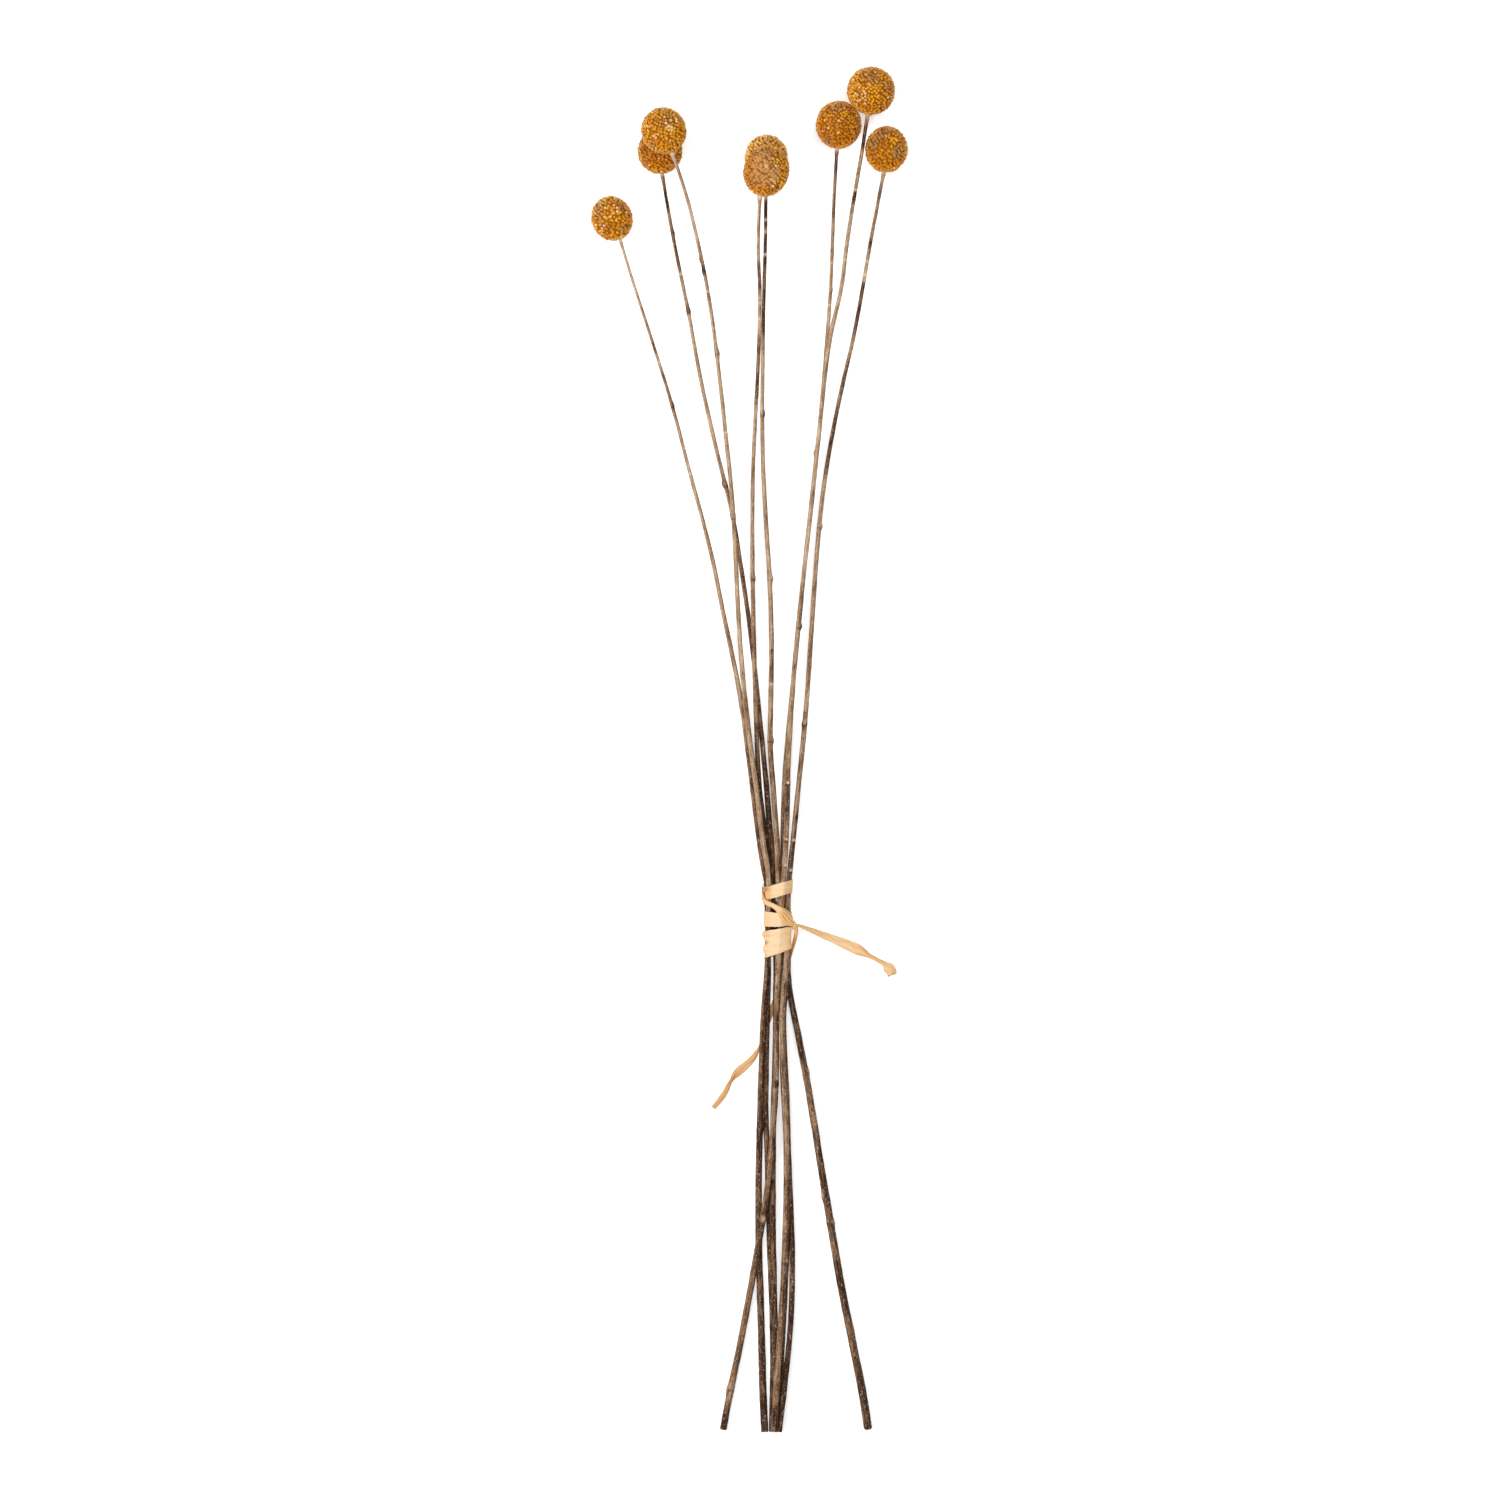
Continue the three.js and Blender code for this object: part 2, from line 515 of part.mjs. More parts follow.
/**
 * The bunch's taut outline at y, which is the convex hull of the stems' sections, as points with the way each
 * one faces. It starts at the top and goes down the left-hand side. In each direction the section that
 * reaches furthest carries it. along is the length walked so far.
 */
function tautOutline(laid, y) {
  const sections = laid.map((stations, i) => (
    { middle: axisAt(stations, y), radius: stemRadius(STEMS[i], y) }));
  const outline = [];
  for (let step = 0; step <= OUTLINE_STEPS; step += 1) {
    const angle = (2 * Math.PI * step) / OUTLINE_STEPS;
    const outward = new THREE.Vector3(-Math.sin(angle), 0, Math.cos(angle));
    const reach = sections.map(({ middle, radius }) => middle.dot(outward) + radius);
    const { middle, radius } = sections[reach.indexOf(Math.max(...reach))];
    const point = middle.clone().addScaledVector(outward, radius);
    const last = outline.at(-1);
    outline.push({ point, outward, along: last ? last.along + last.point.distanceTo(point) : 0 });
  }
  return outline;
}

/** Point that lies away outside an outline, a share of the way round it. */
function outlinePoint(outline, round, away) {
  const along = THREE.MathUtils.euclideanModulo(round, 1) * outline.at(-1).along;
  const i = outline.findIndex((corner) => corner.along > along);
  const [low, high] = [outline[i - 1], outline[i]];
  const t = (along - low.along) / (high.along - low.along);
  const outward = low.outward.clone().lerp(high.outward, t).normalize();
  return low.point.clone().lerp(high.point, t).addScaledVector(outward, away);
}

/**
 * A flat strip wound on the bunch's outline. Its middle along Y and its width run evenly across from the left
 * to the right side of the bunch, so it is straight as seen from above. lift raises it over another turn.
 */
function strip(laid, { from, to, left, right, wideLeft, wideRight, lift = 0 }) {
  const count = Math.round(Math.abs(to - from) * RAFFIA_STEPS);
  const closed = Math.abs(to - from) === 1;
  const inner = LAID_CLEAR + lift;
  const outer = inner + RAFFIA;
  const guide = tautOutline(laid, (left + right) / 2);
  const guideX = guide.map(({ point }) => point.x);
  const rings = [];
  for (let i = 0; i < (closed ? count : count + 1); i += 1) {
    const round = THREE.MathUtils.lerp(from, to, i / count);
    const across = THREE.MathUtils.inverseLerp(
      Math.min(...guideX), Math.max(...guideX), outlinePoint(guide, round, 0).x);
    const middle = THREE.MathUtils.lerp(left, right, across);
    const wide = THREE.MathUtils.lerp(wideLeft, wideRight, across) / 2;
    const edges = [wide, 0, -wide].map((along) => tautOutline(laid, middle + along));
    const corners = [
      ...edges.map((outline) => outlinePoint(outline, round, inner)),
      ...edges.reverse().map((outline) => outlinePoint(outline, round, outer)),
    ];
    rings.push(to < from ? corners.reverse() : corners);
  }
  return skinOf(rings, closed);
}

function tieGeometry(laid) {
  const knotMiddle = outlinePoint(tautOutline(laid, KNOT.y), KNOT.round, KNOT.distance);
  const knot = new THREE.SphereGeometry(1, ...KNOT_SIDES).scale(...KNOT.size.map((size) => size / 2))
    .translate(...knotMiddle.toArray());
  let tie = toSolid(knot).add(toSolid(strip(laid, CROSSING)));
  for (const turn of TURNS) {
    tie = tie.add(toSolid(strip(laid, { from: 0, to: 1, ...turn })));
  }
  return fromSolid(tie);
}

/** A loose end: a plain tube along its way. */
function tailGeometry(way) {
  const path = new THREE.CatmullRomCurve3(way.map((p) => new THREE.Vector3(...p)), false, 'centripetal');
  const section = new THREE.Shape(Array.from({ length: TAIL_SIDES }, (_, k) => {
    const angle = (2 * Math.PI * k) / TAIL_SIDES;
    return new THREE.Vector2(TAIL_RADIUS * Math.cos(angle), TAIL_RADIUS * Math.sin(angle));
  }));
  const steps = Math.round(path.getLength() / TAIL_STEP);
  return new THREE.ExtrudeGeometry(section, { extrudePath: path, steps, bevelEnabled: false });
}

// ---------------------------------------------------------------- the bunch

const FLOWER = new THREE.MeshStandardMaterial({ color: 0xc8862b, roughness: 0.9, metalness: 0 });
const BARK = new THREE.MeshStandardMaterial({ color: 0x8a6b52, roughness: 0.75, metalness: 0 });
const STRAW = new THREE.MeshStandardMaterial({ color: 0xf0cd93, roughness: 0.6, metalness: 0 });

function named(name, geometry, material) {
  const mesh = new THREE.Mesh(geometry, material.clone());
  mesh.name = name;
  return mesh;
}

function buildBunch() {
  const bunch = new THREE.Group();
  const laid = layStems();
  STEMS.forEach((stem, i) => {
    const head = HEADS[i];
    const stations = laid[i];
    const neck = axisAt(stations, stations.at(-1).y);
    const centre = new THREE.Vector3(...head.centre, headHeight(head));
    const axis = centre.clone().sub(neck).normalize();
    const socketEnd = centre.clone().addScaledVector(axis, -(head.length / 2 - SOCKET_DEPTH + CLEARANCE));
    bunch.add(named(`head_${i + 1}`, placedHead(head, stem, neck, FIRST_SEED + i), FLOWER));
    bunch.add(named(`stem_${i + 1}`, stemGeometry(stem, stations, socketEnd), BARK));
  });
  bunch.add(named('raffia_tie', tieGeometry(laid), STRAW));
  bunch.add(named('raffia_tail_right', tailGeometry(TAIL_RIGHT), STRAW));
  bunch.add(named('raffia_tail_left', tailGeometry(TAIL_LEFT), STRAW));
  return bunch;
}

const bunch = buildBunch();
const footprint = new THREE.Box3().setFromObject(bunch).getCenter(new THREE.Vector3());
bunch.position.set(-footprint.x, -footprint.y, 0);

export default bunch;
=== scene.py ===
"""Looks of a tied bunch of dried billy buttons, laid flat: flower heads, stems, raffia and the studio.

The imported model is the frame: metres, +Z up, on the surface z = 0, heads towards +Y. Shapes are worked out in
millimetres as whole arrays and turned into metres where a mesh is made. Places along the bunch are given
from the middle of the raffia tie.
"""
import logging
from dataclasses import dataclass, field
from enum import Enum
from typing import Union

import bpy
import numpy as np
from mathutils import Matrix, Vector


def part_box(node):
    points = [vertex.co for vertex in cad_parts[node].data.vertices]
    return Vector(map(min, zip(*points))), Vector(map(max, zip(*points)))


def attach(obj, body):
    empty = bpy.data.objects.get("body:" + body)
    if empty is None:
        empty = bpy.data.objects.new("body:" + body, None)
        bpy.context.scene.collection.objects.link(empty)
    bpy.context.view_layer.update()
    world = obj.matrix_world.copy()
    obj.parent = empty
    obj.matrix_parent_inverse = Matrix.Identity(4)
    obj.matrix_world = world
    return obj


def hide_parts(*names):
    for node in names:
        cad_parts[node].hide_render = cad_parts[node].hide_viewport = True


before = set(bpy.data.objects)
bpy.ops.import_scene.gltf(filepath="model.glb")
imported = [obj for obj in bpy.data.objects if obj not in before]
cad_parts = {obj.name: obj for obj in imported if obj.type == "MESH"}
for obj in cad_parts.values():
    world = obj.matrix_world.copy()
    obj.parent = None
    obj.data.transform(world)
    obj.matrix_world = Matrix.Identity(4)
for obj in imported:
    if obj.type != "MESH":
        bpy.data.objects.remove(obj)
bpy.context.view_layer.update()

Array = np.ndarray
Colour = tuple[float, float, float]

LOG = logging.getLogger("billy_buttons")

MM = 0.001
TINY = 1e-9
FULL_TURN = 2 * np.pi
GOLDEN_ANGLE = np.pi * (3 - np.sqrt(5))
TIE_MIDDLE = np.array([12.493, -74.587, 0.0])  # of the raffia tie in the frame, in plan
PATCH_PEAK = 1.6  # height at which the unrest in space is cut off
CORNER_DECIMALS = 3  # of a millimetre, to which two corners are the same
NOISE_MIDDLE = 0.5
UPWARD = (0.0, 0.0, 1.0)
BODY = "root"


class Slot(Enum):
    """Material slots: florets, bark and raffia."""

    FLORETS = "florets"
    BARK = "bark"
    RAFFIA = "raffia"


# ---------------------------------------------------------------- numbers in arrays


def unit(vectors: Array) -> Array:
    """Vectors brought to length one, along the last axis."""
    return vectors / np.maximum(np.linalg.norm(vectors, axis=-1, keepdims=True), TINY)


def smooth_step(low: float, high: float, value: Array) -> Array:
    """Rises from 0 at low to 1 at high, level at both ends: 3t^2 - 2t^3."""
    t = np.clip((value - low) / (high - low), 0, 1)
    return t * t * (3 - 2 * t)


def bell(value: Array, middle: float, half: float) -> Array:
    """A bell that is 1 at its middle and fades with the square of the distance over half."""
    return np.exp(-(((value - middle) / half) ** 2))


def waves(value: Array, lengths: tuple[float, ...], random: np.random.Generator) -> Array:
    """Even unrest along a line: the mean of one sine for each wave length, each from a random start.

    Args:
        value: places along the line.
        lengths: wave lengths, in the line's unit.
        random: where the starts come from.

    Returns:
        Values from -1 to 1, in the shape of value.
    """
    starts = random.uniform(0, FULL_TURN, len(lengths))
    phase = np.multiply.outer(value, FULL_TURN / np.array(lengths)) + starts
    return np.sin(phase).mean(axis=-1)


def patches(points: Array, size: float, random: np.random.Generator, count: int = 7) -> Array:
    """Unrest in space: the mean of sines that run in random directions, stretched to about -1 to 1.

    Args:
        points: places, one a row.
        size: rough width of a patch, in the points' unit.
        random: where the directions and starts come from.
        count: number of sines.

    Returns:
        One value for each point.
    """
    directions = unit(random.normal(size=(count, 3)))
    starts = random.uniform(0, FULL_TURN, count)
    phase = points @ directions.T * (np.pi / size) + starts
    return np.clip(np.sin(phase).mean(axis=-1) * np.sqrt(count), -PATCH_PEAK, PATCH_PEAK) / PATCH_PEAK


def smooth_through(places: Array, values: Array, at: Array) -> Array:
    """Cubic through the values whose slope at each place is that between its two neighbours.

    Args:
        places: rising places along the line.
        values: one value, or one row, for each place.
        at: where the curve is wanted.

    Returns:
        The curve's values at those places.
    """
    values = np.asarray(values, float)
    slopes = np.gradient(values, places, axis=0)
    i = np.clip(np.searchsorted(places, at, side="right") - 1, 0, len(places) - 2)
    span = places[i + 1] - places[i]
    t = (at - places[i]) / span
    if values.ndim > 1:
        span, t = span[:, None], t[:, None]
    return ((2 * t**3 - 3 * t**2 + 1) * values[i] + (t**3 - 2 * t**2 + t) * span * slopes[i]
            + (3 * t**2 - 2 * t**3) * values[i + 1] + (t**3 - t**2) * span * slopes[i + 1])


# ---------------------------------------------------------------- skins and meshes


@dataclass
class Skin:
    """A surface before it is a mesh: points in millimetres, faces, and named values, one a point."""

    points: Array
    faces: list[Array]
    marks: dict[str, Array] = field(default_factory=dict)

    @classmethod
    def joined(cls, skins: list["Skin"]) -> "Skin":
        """Puts skins together.

        Args:
            skins: the skins.

        Returns:
            One skin with all their points and faces, and the marks that they share.
        """
        starts = np.cumsum([0] + [len(skin.points) for skin in skins[:-1]])
        faces = [face + start for skin, start in zip(skins, starts) for face in skin.faces]
        names = set.intersection(*(set(skin.marks) for skin in skins))
        marks = {name: np.concatenate([skin.marks[name] for skin in skins]) for name in sorted(names)}
        return cls(np.concatenate([skin.points for skin in skins]), faces, marks)

    def volume(self) -> float:
        """Adds up the tetrahedra between the origin and the triangles that the faces split into.

        Returns:
            The signed volume inside the skin, which is positive if its faces point outwards.
        """
        total = 0.0
        for face in self.faces:
            for k in range(1, face.shape[1] - 1):
                a, b, c = (self.points[face[:, j]] for j in (0, k, k + 1))
                total += float(np.einsum("ij,ij->", a, np.cross(b, c))) / 6
        return total

    def outward(self) -> "Skin":
        """Turns the faces round if they point inwards.

        Returns:
            The same closed skin, with its faces pointing outwards.
        """
        if self.volume() < 0:
            self.faces = [face[:, ::-1] for face in self.faces]
        return self


def sleeve(rings: Array, marks: dict[str, Array], looped: bool = False) -> Skin:
    """Closed skin over rows of rings: a tube with a fan over each end, or a loop that meets itself.

    Args:
        rings: points in rows and columns, each row once round.
        marks: named values in rows and columns, with a last axis of 3 for a vector.
        looped: True if the last row meets the first.

    Returns:
        The skin, with its faces pointing outwards.
    """
    rows, columns = rings.shape[:2]
    index = np.arange(rows * columns).reshape(rows, columns)
    here = index if looped else index[:-1]
    after = np.roll(index, -1, axis=0) if looped else index[1:]
    quads = np.stack([here, np.roll(here, -1, 1), np.roll(after, -1, 1), after], -1).reshape(-1, 4)
    points = rings.reshape(-1, 3)
    flat = {name: value.reshape((rows * columns,) + value.shape[2:]) for name, value in marks.items()}
    if looped:
        return Skin(points, [quads], flat).outward()
    middles = rings[[0, -1]].mean(axis=1)
    first, last = np.full(columns, rows * columns), np.full(columns, rows * columns + 1)
    start_fan = np.stack([np.roll(index[0], -1), index[0], first], -1)
    end_fan = np.stack([index[-1], np.roll(index[-1], -1), last], -1)
    ends = {name: value[[0, -1]].mean(axis=1) for name, value in marks.items()}
    flat = {name: np.concatenate([value, ends[name]]) for name, value in flat.items()}
    return Skin(np.concatenate([points, middles]), [quads, start_fan, end_fan], flat).outward()


def mesh_piece(name: str, skin: Skin, finish: bpy.types.Material, node: str) -> bpy.types.Object:
    """Makes a piece from a skin, in place of a node of the frame.

    Args:
        name: the piece's name.
        skin: its surface, in millimetres.
        finish: its material.
        node: the frame's node that it stands for.

    Returns:
        The object, at the origin, riding on the bunch's body.
    """
    mesh = bpy.data.meshes.new(name)
    mesh.from_pydata((skin.points * MM).tolist(), [], [row for face in skin.faces for row in face.tolist()])
    for mark, values in skin.marks.items():
        vector = values.ndim == 2
        attribute = mesh.attributes.new(mark, "FLOAT_VECTOR" if vector else "FLOAT", "POINT")
        attribute.data.foreach_set("vector" if vector else "value", values.astype(np.float32).ravel())
    mesh.shade_smooth()
    mesh.materials.append(finish)
    piece = bpy.data.objects.new(name, mesh)
    bpy.context.scene.collection.objects.link(piece)
    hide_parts(node)
    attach(piece, BODY)
    LOG.info("%s: %d points, %d faces", name, len(skin.points), len(mesh.polygons))
    return piece


def node_points(node: str) -> Array:
    """Reads the corners of a node of the frame.

    Args:
        node: its name.

    Returns:
        Its distinct corners, in millimetres.
    """
    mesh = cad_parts[node].data
    corners = np.empty(len(mesh.vertices) * 3, np.float32)
    mesh.vertices.foreach_get("co", corners)
    return np.unique(np.round(corners.reshape(-1, 3).astype(float) / MM, CORNER_DECIMALS), axis=0)


# ---------------------------------------------------------------- shader expressions

Operand = Union["Wire", float]


class Wire:
    """A shader socket that holds a value and takes part in sums: each operator adds a Math node."""

    def __init__(self, shader: "Shader", socket: bpy.types.NodeSocket) -> None:
        """Keeps the shader and the socket."""
        self.shader = shader
        self.socket = socket

    def __add__(self, other: Operand) -> "Wire":
        """self + other."""
        return self.shader.maths("ADD", self, other)

    def __radd__(self, other: Operand) -> "Wire":
        """other + self."""
        return self.shader.maths("ADD", other, self)

    def __sub__(self, other: Operand) -> "Wire":
        """self - other."""
        return self.shader.maths("SUBTRACT", self, other)

    def __rsub__(self, other: Operand) -> "Wire":
        """other - self."""
        return self.shader.maths("SUBTRACT", other, self)

    def __mul__(self, other: Operand) -> "Wire":
        """self * other."""
        return self.shader.maths("MULTIPLY", self, other)

    def __rmul__(self, other: Operand) -> "Wire":
        """other * self."""
        return self.shader.maths("MULTIPLY", other, self)

    def __pow__(self, other: Operand) -> "Wire":
        """self to the power of other."""
        return self.shader.maths("POWER", self, other)


class Shader:
    """A material under construction, with one method that adds any node and a few that use it."""

    def __init__(self, name: str) -> None:
        """Makes an empty node material.

        Args:
            name: the material's name.
        """
        self.material = bpy.data.materials.new(name)
        self.material.use_nodes = True
        self.tree = self.material.node_tree
        self.tree.nodes.clear()

    def node(self, kind: str, settings: dict[str, object] | None = None,
             inputs: dict[str | int, object] | None = None) -> bpy.types.Node:
        """Adds a node.

        Args:
            kind: the node's type.
            settings: its own settings, which are set first; "stops" are a ramp's places and colours.
            inputs: values or wires for its sockets, by name or number.

        Returns:
            The node.
        """
        made = self.tree.nodes.new(kind)
        for name, value in (settings or {}).items():
            if name == "stops":
                self._set_stops(made.color_ramp, value)
            else:
                setattr(made, name, value)
        for name, value in (inputs or {}).items():
            socket = made.inputs[name]
            if isinstance(value, Wire):
                self.tree.links.new(value.socket, socket)
            elif isinstance(value, tuple) and len(value) == 3 and socket.type == "RGBA":
                socket.default_value = (*value, 1.0)
            else:
                socket.default_value = value
        return made

    @staticmethod
    def _set_stops(ramp: bpy.types.ColorRamp, stops: list[tuple[float, Colour]]) -> None:
        """Gives a ramp its stops.

        Args:
            ramp: the ramp.
            stops: a place and a colour for each stop.
        """
        while len(ramp.elements) < len(stops):
            ramp.elements.new(0.5)
        for element, (place, colour) in zip(ramp.elements, stops):
            element.position = place
            element.color = (*colour, 1.0)

    def wire(self, node: bpy.types.Node, output: str | int = 0) -> Wire:
        """One of a node's outputs."""
        return Wire(self, node.outputs[output])

    def maths(self, operation: str, first: Operand, second: Operand) -> Wire:
        """A Math node on two values."""
        return self.wire(self.node("ShaderNodeMath", {"operation": operation}, {0: first, 1: second}))

    def limited(self, value: Wire) -> Wire:
        """The value kept from 0 to 1."""
        return self.wire(self.node("ShaderNodeClamp", None, {"Value": value}))

    def mark(self, name: str) -> Wire:
        """A value that the mesh holds at each point."""
        return self.wire(self.node("ShaderNodeAttribute", {"attribute_name": name}), "Fac")

    def vector_mark(self, name: str, scale: tuple[float, float, float]) -> Wire:
        """Reads a vector that the mesh holds at each point.

        Args:
            name: the mark's name.
            scale: what its three parts are multiplied by.

        Returns:
            The scaled vector.
        """
        source = self.wire(self.node("ShaderNodeAttribute", {"attribute_name": name}), "Vector")
        scaled = self.node("ShaderNodeVectorMath", {"operation": "MULTIPLY"}, {0: source, 1: scale})
        return self.wire(scaled)

    def place(self) -> Wire:
        """Object coordinates, in metres."""
        return self.wire(self.node("ShaderNodeTexCoord"), "Object")

    def noise(self, at: Wire, scale: float, detail: float = 2.0, rough: float = 0.5) -> Wire:
        """Soft noise from 0 to 1."""
        inputs = {"Vector": at, "Scale": scale, "Detail": detail, "Roughness": rough}
        return self.wire(self.node("ShaderNodeTexNoise", None, inputs), "Fac")

    def grain(self, grain: "Grain") -> Wire:
        """Noise from 0 to 1 that runs along the piece, as the mesh's mark along says."""
        return self.noise(self.vector_mark("along", grain.stretch), grain.fineness, grain.detail, grain.rough)

    def swing(self, noise: Wire, share: float) -> Wire:
        """How far noise is from its middle, times a share."""
        return (noise - NOISE_MIDDLE) * share

    def ramp(self, value: Wire, stops: list[tuple[float, Colour]]) -> Wire:
        """A colour picked along a ramp by a value."""
        return self.wire(self.node("ShaderNodeValToRGB", {"stops": stops}, {"Fac": value}), "Color")

    def stretched(self, value: Wire, low: float, high: float) -> Wire:
        """The value with low brought to 0 and high to 1, and no further."""
        inputs = {"Value": value, "From Min": low, "From Max": high}
        return self.wire(self.node("ShaderNodeMapRange", {"clamp": True}, inputs))

    def mixed(self, share: Operand, first: Wire | Colour, second: Wire | Colour) -> Wire:
        """Two colours mixed: share 0 gives the first and 1 the second."""
        inputs = {"Factor": share, 6: first, 7: second}
        return self.wire(self.node("ShaderNodeMix", {"data_type": "RGBA"}, inputs), 2)

    def bump(self, height: Wire, distance: float, strength: float) -> Wire:
        """Surface directions tilted by a height."""
        inputs = {"Height": height, "Distance": distance, "Strength": strength}
        return self.wire(self.node("ShaderNodeBump", None, inputs))

    def finished(self, **sockets: object) -> bpy.types.Material:
        """Ends the material with a Principled surface.

        Args:
            **sockets: values or wires for its sockets, with _ for a blank in a socket's name.

        Returns:
            The finished material.
        """
        inputs = {name.replace("_", " "): value for name, value in sockets.items()}
        surface = self.node("ShaderNodeBsdfPrincipled", None, inputs)
        self.node("ShaderNodeOutputMaterial", None, {"Surface": self.wire(surface)})
        return self.material


# ---------------------------------------------------------------- finishes


@dataclass(frozen=True)
class Grain:
    """Noise along a piece: how its place is stretched, its fineness, detail and roughness, and its share."""

    stretch: tuple[float, float, float]
    fineness: float
    detail: float
    share: float
    rough: float = 0.5


@dataclass(frozen=True)
class FloretFinish:
    """Dry golden florets: ochre cups with creamy lips, some withered greyed brown, with painted shade at feet
    and core.
    """

    amber: Colour = (0.575, 0.178, 0.002)
    gold: Colour = (0.88, 0.40, 0.010)
    cream: Colour = (1.0, 0.68, 0.31)
    withered: Colour = (0.40, 0.205, 0.085)
    worn: Colour = (0.53, 0.26, 0.095)
    # painted shade: the colour of the gaps between the florets, at their feet and over the core
    hollow_shade: Colour = (0.36, 0.115, 0.002)
    mottle_scale: float = 1400.0
    tone_mottle: float = 0.6
    hollow_shade_mottle: float = 0.25
    hollow_shade_power: float = 1.3
    grit_scale: float = 4200.0
    grit_height: float = 0.00012
    roughness: float = 0.82
    gloss: float = 0.08

    def material(self) -> bpy.types.Material:
        """Mixes the colours by the marks with a fine mottle, paints shade towards floret feet, and roughens the
        surface.

        Returns:
            The florets' material.
        """
        shader = Shader("florets")
        mottle = shader.noise(shader.place(), self.mottle_scale, detail=3)
        tone = shader.limited(shader.mark("tone") + shader.swing(mottle, self.tone_mottle))
        colour = shader.mixed(tone, self.amber, self.gold)
        for name, over in (("withered", self.withered), ("worn", self.worn), ("cream", self.cream)):
            colour = shader.mixed(shader.mark(name), colour, over)
        # painted shade: the depth mark, mottled, mixes in the hollow colour towards the florets' feet and the
        # core
        depth = shader.mark("depth") ** self.hollow_shade_power + shader.swing(mottle, self.hollow_shade_mottle)
        grit = shader.noise(shader.place(), self.grit_scale)
        return shader.finished(
            Base_Color=shader.mixed(shader.limited(depth), self.hollow_shade, colour), Roughness=self.roughness,
            Normal=shader.bump(grit, self.grit_height, 0.5), Specular_IOR_Level=self.gloss)


@dataclass(frozen=True)
class BarkFinish:
    """Dry stems: tan to near-black brown by the dark mark, grained lengthwise, pale at scars and cut pith."""

    pale: Colour = (0.67, 0.495, 0.342)
    tan: Colour = (0.44, 0.290, 0.180)
    brown: Colour = (0.212, 0.113, 0.058)
    black: Colour = (0.032, 0.013, 0.006)
    scar: Colour = (0.84, 0.58, 0.40)
    tan_at: float = 0.32
    brown_at: float = 0.66
    fibre: Grain = Grain((1.0, 1.0, 0.05), 3.2, 4, share=1.1, rough=0.65)
    streak: Grain = Grain((1.0, 1.0, 0.11), 1.2, 1, share=0.7)
    fleck: Grain = Grain((1.0, 1.0, 0.4), 1.5, 3, share=0.5)
    speck: Grain = Grain((0.4, 0.4, 0.6), 3.4, 2, share=0.6)
    dust: Grain = Grain((1.0, 1.0, 0.7), 1.15, 1, share=0.4)
    dust_range: tuple[float, float] = (0.62, 0.74)
    roughness: float = 0.55
    fibre_roughness: float = 0.3
    fleck_relief: float = 0.4
    relief_height: float = 0.0002
    gloss: float = 0.15

    def material(self) -> bpy.types.Material:
        """Runs a ramp of browns along dark plus grain, then lays the pale marks over it.

        Returns:
            The stems' material.
        """
        shader = Shader("bark")
        fibre, fleck = shader.grain(self.fibre), shader.grain(self.fleck)
        dark = shader.mark("dark") + shader.swing(fibre, self.fibre.share)
        dark = dark + shader.swing(fleck, self.fleck.share)
        for grain in (self.streak, self.speck):
            dark = dark + shader.swing(shader.grain(grain), grain.share)
        dust = shader.stretched(shader.grain(self.dust), *self.dust_range)
        pale = shader.limited(shader.mark("pale") + dust * self.dust.share)
        stops = [(0.0, self.pale), (self.tan_at, self.tan), (self.brown_at, self.brown), (1.0, self.black)]
        relief = fibre + fleck * self.fleck_relief
        return shader.finished(
            Base_Color=shader.mixed(pale, shader.ramp(shader.limited(dark), stops), self.scar),
            Roughness=self.roughness + fibre * self.fibre_roughness,
            Normal=shader.bump(relief, self.relief_height, 0.6), Specular_IOR_Level=self.gloss)


@dataclass(frozen=True)
class RaffiaFinish:
    """Dry palm strip: pale straw with fine lengthwise fibres, painted peach to amber as the shade in its folds.
    """

    straw: Colour = (0.86, 0.63, 0.38)
    fibre: Colour = (0.74, 0.43, 0.19)
    # painted shade: amber is the straw in the shade of its folds; the dark brown below darkens stains and
    # shaded edges
    amber: Colour = (0.70, 0.34, 0.085)
    stain: Colour = (0.22, 0.080, 0.014)
    fibres: Grain = Grain((0.05, 3.4, 0.05), 1.0, 3, share=0.55, rough=0.6)
    fibre_range: tuple[float, float] = (0.38, 0.72)
    cloud: Grain = Grain((0.16, 0.5, 0.16), 1.0, 2, share=0.95)
    cloud_middle: float = 0.45
    roughness: float = 0.5
    fibre_roughness: float = 0.2
    relief_height: float = 0.0001
    gloss: float = 0.45

    def material(self) -> bpy.types.Material:
        """Streaks the straw along the strip, paints shade into the folds as amber and darkens stained and
        shaded edges.

        Returns:
            The raffia's material.
        """
        shader = Shader("raffia")
        fibres = shader.grain(self.fibres)
        cloud = (shader.grain(self.cloud) - self.cloud_middle) * self.cloud.share
        streak = shader.stretched(fibres, *self.fibre_range) * self.fibres.share + cloud
        colour = shader.mixed(shader.limited(streak), self.straw, self.fibre)
        # painted shade: amber by the fold mark, then dark brown by the stain mark for stains and shaded edges
        colour = shader.mixed(shader.mark("fold"), colour, self.amber)
        colour = shader.mixed(shader.mark("stain"), colour, self.stain)
        return shader.finished(
            Base_Color=colour, Roughness=self.roughness + fibres * self.fibre_roughness,
            Normal=shader.bump(fibres, self.relief_height, 0.5), Specular_IOR_Level=self.gloss)


